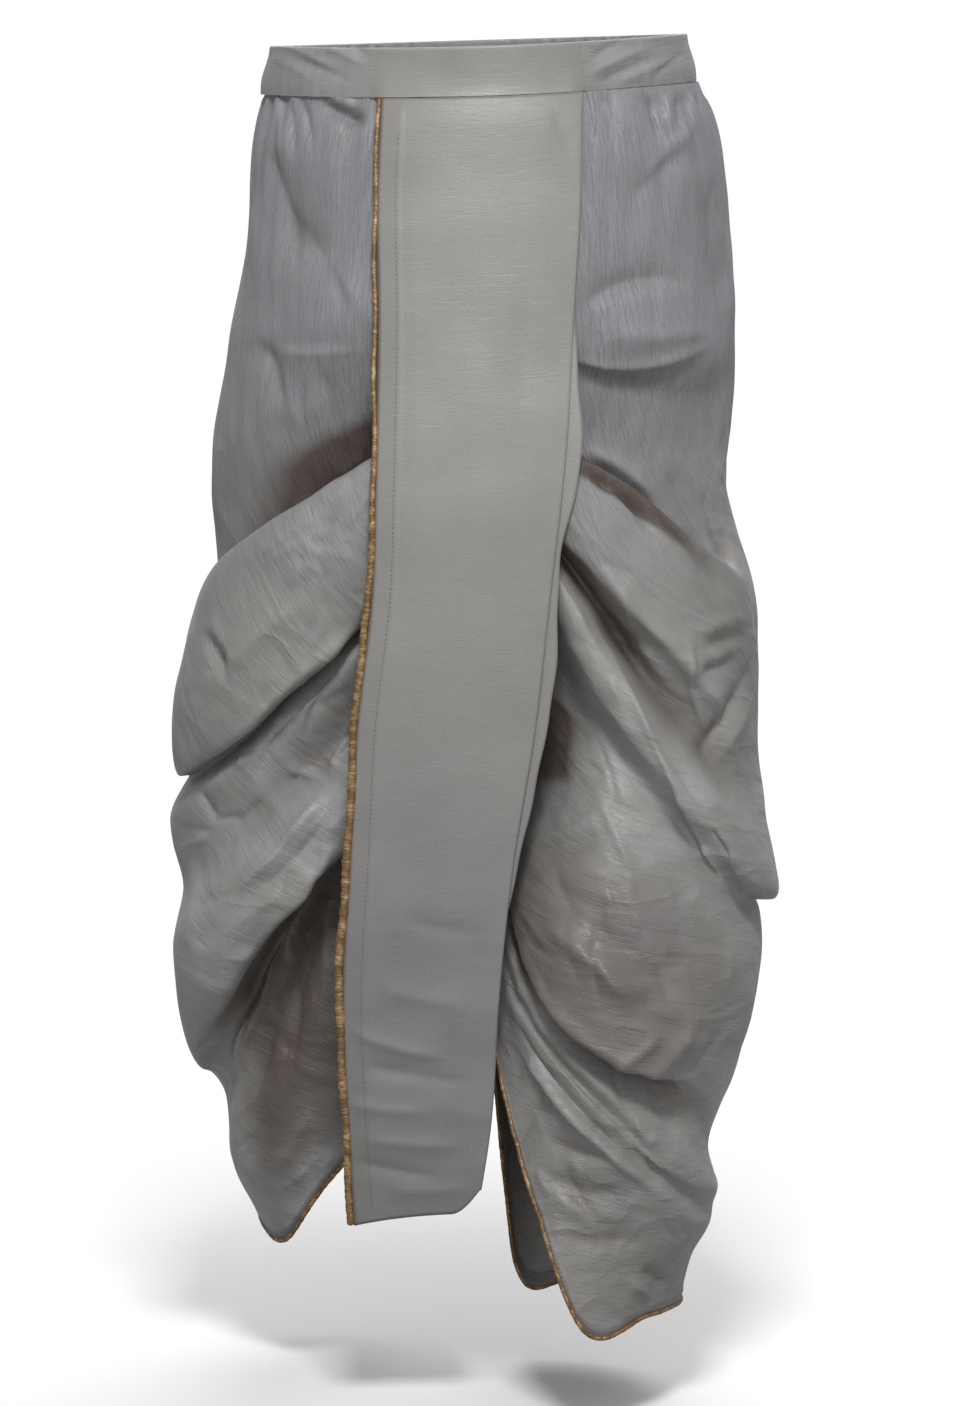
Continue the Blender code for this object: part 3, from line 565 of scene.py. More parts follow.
def sheet_mesh(name, points, weave, flip=False, tube=False, hollow=None):
    """A smooth sheet of quads over a grid of places, with its cloth coordinates in the UV map `weave`.

    A tube's last column is its first again. They share their places, and its two open ends are capped.
    """
    count, width = points.shape[:2]
    number = np.arange(count * width).reshape(count, width)
    corners = [number[:-1, :-1], number[1:, :-1], number[1:, 1:], number[:-1, 1:]]
    faces = np.stack(corners[::-1] if flip else corners, -1).reshape(-1, 4)
    rings = [number[0, :-1][:: -1 if flip else 1], number[-1, :-1][:: 1 if flip else -1]] if tube else []
    uses = np.concatenate([faces.ravel(), *rings])
    kept = number - (number // width) if tube else number
    if tube:
        kept[:, -1] = kept[:, 0]
        points = points[:, :-1]
    shapes = [*kept.ravel()[faces].tolist(), *(kept.ravel()[ring].tolist() for ring in rings)]
    mesh = bpy.data.meshes.new(name)
    mesh.from_pydata(points.reshape(-1, 3).tolist(), [], shapes)
    uv = mesh.uv_layers.new(name="weave")
    uv.data.foreach_set("uv", weave.reshape(-1, 2)[uses].astype(np.float32).ravel())
    mesh.shade_smooth()
    if tube:
        mesh.set_sharp_from_angle(angle=1)
    # The painted shade, and on the panel the facing's darker tone, goes on the points as an attribute.
    if hollow is not None:
        shade = mesh.attributes.new("hollow", "FLOAT", "POINT")
        shade.data.foreach_set("value", hollow.ravel().astype(np.float32))
    return new_object(name, mesh)


# The warm brown of painted shade where the cloth lies deep in a recess; on the panel it also darkens the
# facing.
PAINTED_SHADE_AND_TONE_BROWN = (0.066, 0.044, 0.033, 1)
# Painted highlight: the silvery grey of a painted sheen on the lower cloth.
PAINTED_SHEEN_GREY = (0.300, 0.305, 0.317, 1)


class Signal:
    """A socket in a material. Arithmetic on signals adds Math nodes."""

    def __init__(self, socket):
        self.socket = socket

    def node(self, kind, settings=(), sockets=(), output=0):
        """Adds a node of this kind to the same material, with its settings first and then its sockets."""
        tree = self.socket.id_data
        made = tree.nodes.new(kind)
        for name, value in dict(settings).items():
            setattr(made, name, value)
        for name, value in dict(sockets).items():
            if isinstance(value, Signal):
                tree.links.new(value.socket, made.inputs[name])
            else:
                made.inputs[name].default_value = value
        return Signal(made.outputs[output])

    def math(self, operation, first, second=0):
        return self.node("ShaderNodeMath", {"operation": operation}, {0: first, 1: second})

    def __abs__(self):
        return self.math("ABSOLUTE", self)

    def __add__(self, other):
        return self.math("ADD", self, other)

    def __sub__(self, other):
        return self.math("SUBTRACT", self, other)

    def __rsub__(self, other):
        return self.math("SUBTRACT", other, self)

    def __mul__(self, other):
        return self.math("MULTIPLY", self, other)

    __radd__ = __add__
    __rmul__ = __mul__

    def step(self, low, high):
        """0 below low, 1 above high, and an S-curve between."""
        sockets = {"Value": self, "From Min": low, "From Max": high}
        return self.node("ShaderNodeMapRange", {"interpolation_type": "SMOOTHSTEP"}, sockets)

    def colour(self, low, high):
        """A colour from `low` where the signal is 0 to `high` where it is 1."""
        return self.node("ShaderNodeMix", {"data_type": "RGBA"}, {0: self, 6: low, 7: high}, output=2)

    def noise(self, scale, detail=2, roughness=0.5, distortion=0):
        """Noise from 0 to 1, read at this signal's place times `scale` along each axis."""
        sockets = {0: self, 1: (*scale, 1)[:3]}
        place = self.node("ShaderNodeVectorMath", {"operation": "MULTIPLY"}, sockets)
        inputs = {"Vector": place, "Scale": 1, "Detail": detail}
        inputs.update({"Roughness": roughness, "Distortion": distortion})
        return place.node("ShaderNodeTexNoise", {}, inputs)

    def bump(self, distance):
        """The surface's normal where this signal raises it, by up to `distance` metres."""
        sockets = {"Height": self, "Strength": 0.6, "Distance": distance}
        return self.node("ShaderNodeBump", {}, sockets)


def start_material(name):
    """A new material, with its surface shader's inputs and a signal to build from."""
    material = bpy.data.materials.new(name)
    material.use_nodes = True
    shader = material.node_tree.nodes["Principled BSDF"]
    return material, shader, Signal(shader.outputs[0])


def feed(shader, name, signal):
    signal.socket.id_data.links.new(signal.socket, shader.inputs[name])


def silk(name, hip, low, hip_drop, low_drop, crinkle, slub, facet):
    """Slubbed silk-look cloth. Its colour runs from `hip` to `low` between two drops.

    Along the streaks of the weave lie pale and dark slubs and pale hairs that `slub` brightens, crushed lines
    that `crinkle` deepens and also paints paler as a painted highlight, facets that `facet` raises, and the
    grain of the threads. Low on the cloth, broad patches are painted a silvery sheen, a painted highlight. An
    attribute paints shade: it turns the cloth warm and dark in deep recesses, and on the panel it also
    darkens the facing.
    """
    material, shader, start = start_material(name)
    weave = start.node("ShaderNodeUVMap", {"uv_map": "weave"})
    place = start.node("ShaderNodeTexCoord", output="Object")
    hollow = start.node("ShaderNodeAttribute", {"attribute_name": "hollow"}, output=2)
    height = place.node("ShaderNodeSeparateXYZ", {}, {0: place}, output=2)
    lowness = height.step(-hip_drop, -low_drop)
    patches = place.noise((11, 11, 11), detail=3)
    slubs = weave.noise((1300, 60), detail=2, roughness=0.6)
    pale = slubs.step(0.60, 0.76)
    dark = 1 - slubs.step(0.26, 0.40)
    hairs = weave.noise((700, 46), detail=1, distortion=0.5).step(0.64, 0.76)
    crush = weave.noise((330, 34), detail=4, roughness=0.7, distortion=0.4)
    lines = (1 - abs(crush - 0.5) * 5).step(0.2, 1)
    # Facets are broad folds a thumb wide. Their crests are crisp, because the noise turns back at its middle.
    facets = weave.noise((30, 13), detail=2, roughness=0.45, distortion=0.35)
    crests = abs(facets - 0.5)
    grain = weave.noise((1000, 640), detail=2)
    # Painted highlight: low on the cloth, patches that follow the facets are painted a silvery sheen.
    painted_sheen = (place.noise((8, 8, 6), detail=3) * 0.5 + facets * 0.5).step(0.5, 0.62) * lowness
    ground = (painted_sheen * (0.12 + facet * 0.46)).colour(lowness.colour(hip, low), PAINTED_SHEEN_GREY)
    # Painted shade: the attribute darkens the cloth towards a warm brown in deep recesses.
    shaded = (hollow * 0.9).colour(ground, PAINTED_SHADE_AND_TONE_BROWN)
    calm = 1 - lowness * 0.5
    # Painted highlight: the crushed lines are painted paler as well as raised by the bump.
    tone = 1 + (patches - 0.5) * 0.34 + (lines - 0.4) * calm * (crinkle * 0.08)
    tone = tone + (pale - dark * 0.8) * slub
    tone = tone + (grain - 0.5) * 0.34 + hairs * (0.05 + slub * 2)
    tinted = shaded.node("ShaderNodeVectorMath", {"operation": "SCALE"}, {0: shaded, "Scale": tone})
    feed(shader, "Base Color", tinted)
    feed(shader, "Roughness", 0.43 - (slubs - 0.5) * 0.2 + (patches - 0.5) * 0.12)
    relief = (lines * 0.4 + crush * 1.7) * calm * crinkle + grain * 0.16
    relief = relief + (slubs + hairs) * (slub * 2.2)
    relief = relief + crests * (lowness * 0.65 + 0.35) * (facet * -10)
    feed(shader, "Normal", relief.bump(0.0013))
    shader.inputs["Specular IOR Level"].default_value = 0.45
    shader.inputs["Sheen Weight"].default_value = 0.12
    shader.inputs["Sheen Roughness"].default_value = 0.35
    shader.inputs["Sheen Tint"].default_value = (0.9, 0.93, 1, 1)
    return material


def leg_sheet(form, folds, side, back_creases, front_creases, pocket_shade, seed):
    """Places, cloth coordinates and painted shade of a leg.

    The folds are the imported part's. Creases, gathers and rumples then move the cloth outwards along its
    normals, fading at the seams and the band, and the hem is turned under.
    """
    back = np.linspace(0, 0.5, LEG_BACK_COLUMNS + 1)
    front = np.linspace(0.5, 1, LEG_FRONT_COLUMNS + 1)[1:]
    across = np.concatenate([back, front])
    rows = fold_rows(form, folds, side, across)
    down = evened(rows, LEG_ROWS)
    points = through_rows(rows, down)
    normal = outwards(points, side)
    s, t = lengths(points, 1), lengths(points, 0)
    drop = -points[..., 2]
    seams = smooth_step(0, 0.035, np.minimum(across, 1 - across))[None]
    top = smooth_step(0.036, 0.046, drop)
    to_back = np.clip(-1.6 * normal[..., 1] - 0.1, 0, 1) * (across < 0.5)
    to_front = np.clip(1.6 * normal[..., 1] - 0.1, 0, 1) * (across > 0.5)
    lean, width = (-52, (20, 200)) if side > 0 else (-128, (-200, -20))
    back_small = scattered(110, width, (-860, -300), lean, seed)
    front_small = scattered(50, width, (-860, -200), lean, seed + 5)
    moved = creased(points, to_back, [*back_creases, *back_small], CREASE_DEPTH)
    moved += creased(points, to_front, [*front_creases, *front_small], CREASE_DEPTH)
    gather = np.sin(2 * np.pi * LEG_GATHERS * across + 2.4 * np.sin(9 * np.pi * across))[None]
    fade = smooth_step(0.2, 0.34, across) * (1 - smooth_step(0.88, 0.98, across))
    moved += GATHER_HEIGHT * gather * fade * top * (1 - smooth_step(0.06, 0.15, drop))
    upright = 1 - smooth_step(0.2, 0.4, drop)
    moved += RUMPLE_HEIGHT * upright * crumple(s * 4, t * 0.6, 0.05, seed)
    moved += RUMPLE_HEIGHT * crumple(s, t, 0.035, seed + 1)
    hem = lengths(points[::-1], 0)[::-1]
    moved -= HEM_FACING_STEP * smooth_step(HEM_FACING, HEM_FACING + 0.0015, hem)
    points = points + normal * (moved * seams * top)[..., None]
    # The hem is turned under and faced: half a turn, then a return behind the cloth.
    inward = -outwards(points, side)[-3:]
    end = unit(points[-1] - points[-2])
    turn = np.radians([60, 120, 180])[:, None, None]
    bulge = HEM_TURN_RADIUS * (np.sin(turn) * end[None] + (1 - np.cos(turn)) * inward[-1:])
    behind = points[-3:-1][::-1] + 2 * HEM_TURN_RADIUS * inward[:2][::-1]
    points = np.concatenate([points, points[-1:] + bulge, behind])
    turns = "left turn" if side < 0 else "right turn"
    down = np.append(down, [down[-1]] * (len(points) - len(down)))
    # Painted shade: the cloth is darkened where it sinks below its surroundings, in the listed pocket rows,
    # and over the hem's turn.
    hollow = painted_recess_shade(points, outwards(points, side), down, across, pocket_shade)
    last = -len(PAINTED_HEM_SHADE)
    hollow[last:] = np.maximum(hollow[last:], np.array(PAINTED_HEM_SHADE)[:, None])
    return points, weave_map(points, across, turns, side), hollow


HIP_GREY = (0.213, 0.212, 0.226, 1)
LOW_GREY = (0.238, 0.235, 0.225, 1)
leg_cloth = silk("slubbed_leg_silk", HIP_GREY, LOW_GREY, 0.24, 0.42, crinkle=1.0, slub=0.08, facet=1)
legs = {}
for word, form, folds, side, behind, before, pocket_shade, seed, cut in (
    ("left", LEFT_FORM, LEFT_FOLDS, -1, LEFT_BACK, LEFT_FRONT, LEFT_POCKET_SHADE, 5, (0.60, 0.96)),
    ("right", RIGHT_FORM, RIGHT_FOLDS, 1, RIGHT_BACK, RIGHT_FRONT, RIGHT_POCKET_SHADE, 17, (0.61, 0.99)),
):
    points, weave, hollow = leg_sheet(form, folds, side, behind, before, pocket_shade, seed)
    leg = sheet_mesh(word + "_draped_leg", points, weave, flip=side < 0, hollow=hollow)
    leg.data.materials.append(leg_cloth)
    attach(leg, "root")
    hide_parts(word + "_leg")
    legs[word] = points

# The piping on the hems. A bias strip of crinkled gold cloth is folded round a thin cord and sewn to the edge
# of each hem. A row of stitches beside it holds the hem's facing.
HEM_PIPING_RADIUS = 0.0016
# The crinkles' crests are painted in the bright gold as painted highlight, their troughs in the dark gold as
# painted shade.
GOLD = (0.560, 0.370, 0.180, 1)
GOLD_PAINTED_TROUGH_SHADE = (0.150, 0.085, 0.036, 1)
TUBE_STEP = 0.0011


def along_path(path, at, field):
    """A path's field of vectors, read in between where the path has run `at` metres."""
    run = lengths(path[:, None], 0)[:, 0]
    return np.stack([np.interp(at, run, field[:, i]) for i in range(3)], -1)


def tube_mesh(name, path, radius, flatten=1, sides=12, wobble=0.12, seed=0):
    """A closed crinkled tube along a path: a ring of `sides` at each place, seeded waves vary its radius."""
    run = lengths(path[:, None], 0)[:, 0]
    count = int(run[-1] / TUBE_STEP)
    even = np.linspace(0, run[-1], count)
    radius = np.interp(even, run, radius) if np.ndim(radius) else np.full(count, radius)
    path = along_path(path, even, path)
    along = unit(np.gradient(path, axis=0))
    deep = unit(np.cross(along, np.cross([0, 1, 0], along)))
    wide = np.cross(along, deep)
    turn = np.linspace(0, 2 * np.pi, sides, endpoint=False)
    crinkle = 1 + wobble * crumple(even[:, None] * np.ones(sides), 0.004 * np.sin(turn)[None], 0.004, seed)
    ends = np.sqrt(np.clip(np.minimum(even, run[-1] - even) / 0.0012, 0.02, 1))[:, None]
    size = radius[:, None] * crinkle * ends
    points = path[:, None] + (size * np.cos(turn))[..., None] * wide[:, None]
    points = points + (flatten * size * np.sin(turn))[..., None] * deep[:, None]
    points = np.concatenate([points, points[:, :1]], 1)
    weave = spread(even[:, None], 0.003 * np.linspace(0, 1, sides + 1)[None])
    return sheet_mesh(name, points, weave, tube=True)


def gold_cloth(name):
    """Crinkled metallic cloth. One noise paints its crests bright and its troughs dark brown, as painted
    highlight and painted shade, and raises the relief.
    """
    material, shader, start = start_material(name)
    weave = start.node("ShaderNodeUVMap", {"uv_map": "weave"})
    crush = weave.noise((620, 900), detail=3, roughness=0.65, distortion=0.4)
    broad = weave.noise((90, 60), detail=2)
    threads = weave.noise((2600, 2600), detail=0)
    # Painted highlight on the crests and painted shade in the troughs, from the same noise as the relief.
    painted_crest_shine = (crush * 0.55 + broad * 0.45).step(0.42, 0.72)
    feed(shader, "Base Color", painted_crest_shine.colour(GOLD_PAINTED_TROUGH_SHADE, GOLD))
    feed(shader, "Roughness", 0.52 - painted_crest_shine * 0.2)
    relief = crush + threads * 0.15
    feed(shader, "Normal", relief.bump(0.0009))
    shader.inputs["Metallic"].default_value = 0.4
    return material


STITCH_LENGTH = 0.0023
STITCH_PITCH = 0.0034
STITCH_RADIUS = 0.00022


def stitch_row(name, path, facing, sag=0.3):
    """A row of stitches along a path: six-sided capsules, each dipping into the cloth at its ends.

    `facing` is the cloth's outward direction at each place of the path. A stitch's middle stands out by its
    radius less `sag` of it.
    """
    middles = np.arange(STITCH_PITCH, lengths(path[:, None], 0)[-1, 0] - STITCH_PITCH, STITCH_PITCH)
    at = middles[:, None] + np.array([-0.5, -0.36, 0.36, 0.5]) * STITCH_LENGTH
    spine, out = along_path(path, at, path), unit(along_path(path, at, facing))
    wide = np.cross(unit(spine[:, 3:] - spine[:, :1]), out)
    turn = np.linspace(0, 2 * np.pi, 6, endpoint=False)
    size = STITCH_RADIUS * np.array([0.35, 1, 1, 0.35])[:, None]
    lift = STITCH_RADIUS * (np.array([-1.4, 1, 1, -1.4]) - sag)[:, None, None]
    points = spine[:, :, None] + (size * np.cos(turn))[..., None] * wide[:, :, None]
    points = points + ((size * np.sin(turn))[..., None] + lift) * out[:, :, None]
    places = points.reshape(len(middles), 24, 3)
    ring, level = np.meshgrid(np.arange(6), np.arange(3))
    here, following = level * 6 + ring, level * 6 + (ring + 1) % 6
    sides = np.stack([here, following, following + 6, here + 6], -1).reshape(-1, 4)
    starts = 24 * np.arange(len(middles))[:, None, None]
    caps = (np.arange(6)[::-1], np.arange(18, 24))
    faces = (sides + starts).reshape(-1, 4).tolist()
    faces += [face for cap in caps for face in (cap + starts[:, 0]).tolist()]
    mesh = bpy.data.meshes.new(name)
    mesh.from_pydata(places.reshape(-1, 3).tolist(), [], faces)
    mesh.shade_smooth()
    return new_object(name, mesh)


def thread(name, colour):
    """Spun thread: its tone changes a little along it."""
    material, shader, start = start_material(name)
    place = start.node("ShaderNodeTexCoord", output="Object")
    spun = place.noise((2600, 2600, 2600), detail=1)
    feed(shader, "Base Color", spun.colour([0.7 * value for value in colour[:3]] + [1], colour))
    shader.inputs["Roughness"].default_value = 0.55
    return material


grey_thread = thread("grey_sewing_thread", (0.15, 0.147, 0.142, 1))
gold = gold_cloth("crinkled_gold_cloth")
for word, points in legs.items():
    edge, inner = points[-6], points[-7]
    path = edge + unit(edge - inner) * (HEM_PIPING_RADIUS * 0.7)
    piping = tube_mesh(word + "_gold_hem_piping", path[2:-2], HEM_PIPING_RADIUS, seed=31 + len(word))
    piping.data.materials.append(gold)
    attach(piping, "root")
    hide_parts(word + "_hem_piping")
    # The hem's stitches hold its facing, two millimetres short of the facing's edge.
    up = np.linalg.norm(np.diff(points[: len(points) - 5], axis=0), axis=-1)[::-1].cumsum(0)
    row = len(points) - 6 - np.argmax(up > HEM_FACING - 0.002, axis=0)
    normal = outwards(points, -1 if word == "left" else 1)
    at = np.arange(points.shape[1])
    sewn = stitch_row(word + "_hem_stitches", points[row, at][3:-3], normal[row, at][3:-3])
    sewn.data.materials.append(grey_thread)
    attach(sewn, "root")

# The layer under the back panel, a pressed strip of the same silk. It hangs from the band behind the panel
# and shows past the panel's folded edge between seat and calf.
PANEL_COLUMNS = ("drop", "left", "right", "depth", "bow")
PANEL = (
    (0.0363, -0.0720, 0.0760, -0.1100, 0.0112),
    (0.050, -0.0725, 0.0755, -0.1155, 0.0092),
    (0.072, -0.0735, 0.0750, -0.1214, 0.0074),
    (0.100, -0.0745, 0.0745, -0.1280, 0.0074),
    (0.200, -0.0735, 0.0690, -0.1492, 0.0070),
    (0.300, -0.0750, 0.0630, -0.1730, 0.0050),
    (0.340, -0.0760, 0.0590, -0.1788, 0.0044),
    (0.400, -0.0780, 0.0520, -0.1800, 0.0040),
    (0.500, -0.0895, 0.0410, -0.1800, 0.0030),
    (0.600, -0.0950, 0.0250, -0.1800, 0.0020),
    (0.700, -0.1005, 0.0145, -0.1795, 0.0000),
    (0.800, -0.0970, 0.0080, -0.1790, 0.0000),
    (0.875, -0.0920, -0.0040, -0.1785, 0.0000),
)
UNDERLAY_COLUMNS = ("drop", "peek")
UNDERLAY = (
    (0.150, -0.004),
    (0.235, 0.006),
    (0.310, 0.012),
    (0.370, 0.006),
    (0.470, 0.011),
    (0.560, 0.007),
    (0.640, 0.002),
    (0.700, -0.004),
)
UNDERLAY_BACK = 0.0042
UNDERLAY_WIDTH = 0.050
PANEL_GREY = (0.238, 0.233, 0.221, 1)
# Painted shade: the panel's grey darkens towards its hem, where less of the light from above falls.
PANEL_PAINTED_SHADE_GREY = (0.158, 0.159, 0.156, 1)
STRIP_WALL = 0.0006
panel_cloth = silk(
    "pressed_panel_silk", PANEL_GREY, PANEL_PAINTED_SHADE_GREY, 0.35, 0.85, crinkle=0.1, slub=0.02, facet=0.12
)


def panel_spine(drop):
    """The panel's left and right edge, its depth and how far its middle bows out, at each drop."""
    drops = column(PANEL, PANEL_COLUMNS, "drop")
    return (smooth_through(drops, column(PANEL, PANEL_COLUMNS, name), drop) for name in PANEL_COLUMNS[1:])


def thicken(strip):
    """Gives a hanging strip of one face its thickness, inwards."""
    wall = strip.modifiers.new("wall", "SOLIDIFY")
    wall.thickness = STRIP_WALL
    wall.offset = -1


def level_weave(points):
    """Cloth coordinates of a hanging strip: its streaks run level, across it."""
    return np.stack([lengths(points, 0), points[..., 0]], -1)


drops = column(UNDERLAY, UNDERLAY_COLUMNS, "drop")
drop = np.linspace(drops[0], drops[-1], 180)[:, None]
left, right, depth, bow = panel_spine(drop)
edge = right + smooth_through(drops, column(UNDERLAY, UNDERLAY_COLUMNS, "peek"), drop)
edge = edge + 0.0006 * np.sin(47 * drop) + 0.0004 * np.sin(113 * drop + 1)
x = edge - UNDERLAY_WIDTH * np.linspace(1, 0, 25)[None]
share = np.minimum((x - left) / (right - left), 1)
y = depth + bow * (2 * share - 1) ** 2 + UNDERLAY_BACK
points = np.stack([x, y, waist_rise(x, y, drop) - drop], -1)
under_layer = sheet_mesh("panel_under_layer", points, level_weave(points))
under_layer.data.materials.append(panel_cloth)
thicken(under_layer)
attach(under_layer, "root")
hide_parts("back_panel_underlay")

# The back panel, a long pressed strip of the same silk, hung from the band. Its right edge is folded under,
# and a facing as wide as a thumb backs its left edge, where the gold piping is sewn on.
PANEL_HEM = 0.8630
PANEL_HEM_LEFT_DROP = 0.009
PANEL_CORNER = 0.018
PANEL_CORNER_SHARE = 0.2
PANEL_TURN_RADIUS = 0.0012
PANEL_RETURN = 0.20
PANEL_FACING = 0.017
PANEL_FACING_SEAM = PANEL_FACING - 0.003
PANEL_FACING_STEP = 0.0003
PANEL_RUMPLE_HEIGHT = 0.0005
PANEL_ROWS = 300
# The panel starts this far below the band's lower edge.
PANEL_GAP = 0.00005
PANEL_CREASES = (
    (-100, -722, -16, -746, -5, 5, 1.9),
    (-94, -748, 2, -764, -3, 7, -2.0),
    (-104, -778, -30, -786, -3, 5, 1.7),
    (-92, -806, 0, -812, -2, 6, 1.8),
    (-80, -690, 2, -706, -4, 9, 1.4),
    (-60, -640, 8, -652, -3, 8, -1.2),
    (-96, -822, -20, -836, -2, 5, -1.8),
    (-70, -846, 0, -842, -2, 5, 1.2),
    (52, -46, 70, -96, 2, 7, -0.5),
    (44, -44, 58, -84, 2, 7, 0.3),
    (-50, -60, -46, -420, 2, 14, 0.5),
    (10, -120, 6, -560, -3, 20, 0.6),
    (40, -120, 22, -520, -3, 12, -0.5),
)


def panel_points(share, down):
    """Places on the back panel. `share` runs from its left edge to its right, `down` from band to hem."""
    lower_left = PANEL_HEM_LEFT_DROP * (1 - share) ** 2
    corner = PANEL_CORNER * np.clip((share - 1) / PANEL_CORNER_SHARE + 1, 0, None) ** 2
    drop = BAND_HEIGHT + PANEL_GAP + (PANEL_HEM + lower_left - corner - BAND_HEIGHT) * down
    left, right, depth, bow = panel_spine(drop)
    x = left + (right - left) * share
    y = depth + bow * (2 * share - 1) ** 2
    return np.stack([x, y, waist_rise(x, y, drop) - drop], -1)


down = np.linspace(0, 1, PANEL_ROWS)[:, None]
face = panel_points(np.linspace(0, 1, 90)[None], down)
from_left = face[..., 0] - face[:, :1, 0]
moved = creased(face, np.ones(face.shape[:2]), PANEL_CREASES)
rumples = crumple(face[..., 0], face[..., 2] * 1.3, 0.05, 3)
moved += PANEL_RUMPLE_HEIGHT * rumples * smooth_step(0, 0.1, down)
moved -= PANEL_FACING_STEP * smooth_step(PANEL_FACING, PANEL_FACING + 0.001, from_left)
face[..., 1] -= moved * smooth_step(0, 0.02, down)
# The right edge makes half a turn and returns behind the face.
turn = np.radians([45, 90, 135, 180])[None, :, None]
back = 1 - np.cos(turn)
bulge = np.concatenate([np.sin(turn), back, 0 * back], -1) * PANEL_TURN_RADIUS
shares = 1 - PANEL_RETURN * np.linspace(0.2, 1, 5)
behind = panel_points(shares[None], down) + bulge[:, -1:]
points = np.concatenate([face, face[:, -1:] + bulge, behind], 1)
# The cloth is darker over its facing, above all over the seat. Painted shade darkens it beside the piping,
# and below the band, where it tones down the light on the panel's top.
shade = 1 - smooth_step(PANEL_FACING - 0.002, PANEL_FACING + 0.001, from_left)
shade = shade * (0.10 + 0.08 * smooth_step(0.1, 0.2, down) * (1 - smooth_step(0.25, 0.36, down)))
shade = shade + 0.7 * (1 - smooth_step(0.0008, 0.0034, from_left))
shade = shade + 0.11 * (1 - smooth_step(0.01, 0.12, down))
hollow = np.concatenate([shade, np.zeros((PANEL_ROWS, points.shape[1] - face.shape[1]))], 1)
panel = sheet_mesh("long_back_panel", points, level_weave(points), hollow=hollow)
panel.data.materials.append(panel_cloth)
thicken(panel)
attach(panel, "root")
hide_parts("back_panel")

# The piping on the panel's left edge, a wider strip of the same gold cloth. It is crushed by the stitches
# that hold it, and widens from the band down. A row is a share of the way down, and the radius there.
PANEL_PIPING = ((0, 0.0017), (0.25, 0.0017), (0.42, 0.0026), (0.6, 0.0031), (0.82, 0.0031), (1, 0.0026))
path = face[:, 0] + np.array([-0.0016, 0.0004, 0])
path[:, 0] += 0.0008 * np.sin(23 * down[:, 0]) + 0.0006 * np.sin(61 * down[:, 0] + 2)
widths = np.interp(down[:, 0], *np.array(PANEL_PIPING).T)
piping = tube_mesh("gold_panel_piping", path, widths, flatten=0.62, sides=16, wobble=0.16, seed=41)
piping.data.materials.append(gold)
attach(piping, "root")
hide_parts("back_panel_piping")

# The stitches of the panel's facing, one row of grey thread that sews the facing down behind the gold edge
# from the band to the hem.
normal = unit(np.cross(np.gradient(face, axis=1), np.gradient(face, axis=0)))
normal *= -np.sign(normal[..., 1:2] + 1e-9)
near = np.argmin(np.abs(from_left - PANEL_FACING_SEAM), axis=1)
at = np.arange(PANEL_ROWS)
line = face[at, near].copy()
line[:, 0] = face[:, 0, 0] + PANEL_FACING_SEAM
sewn = stitch_row("panel_facing_stitches", line[8:-2], normal[at, near][8:-2])
sewn.data.materials.append(grey_thread)
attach(sewn, "root")

# The waistband, a double casing of the same silk over elastic. Over the middle of the back it is pressed
# smooth and has the panel's finish. The elastic draws the rest in, so it is gathered and creased aslant.
BAND_WALL = 0.003
BAND_DEPTH_MIDDLE = 0.003
BAND_HALF_WIDTH_TOP = 0.157
BAND_HALF_WIDTH_BOTTOM = 0.164
BAND_WIDENS_OVER = 0.85 * BAND_HEIGHT
FLAT_HALF_WIDTH = 0.0745
BAND_CREASES = (
    (-150, -2, -100, -26, 2, 4, 1.3),
    (-140, -14, -90, -34, 2, 4, -1.2),
    (-120, -3, -80, -22, 2, 3.5, 1.1),
    (-158, -12, -120, -32, 2, 4, 1.0),
    (-106, -2, -78, -14, 2, 3, -1.0),
    (78, -28, 132, -4, 2, 4, 1.4),
    (84, -34, 146, -10, 2, 4, -1.2),
    (80, -16, 112, -1, 2, 3.5, -1.1),
    (100, -34, 156, -12, 2, 4, 1.2),
    (128, -30, 160, -8, 2, 3.5, -1.2),
)
BAND_PROFILE = 20
BAND_CREASE_DEPTH = 1.5
BAND_GATHER_HEIGHT = 0.0008
BAND_RUMPLE_HEIGHT = 0.0003
# A turn of one radian round the band is about this much cloth.
BAND_TURN_LENGTH = 0.14
# Over the panel the band's lower edge comes out by this much, so that the two lie in one face.
BAND_OVER_PANEL = 0.0042


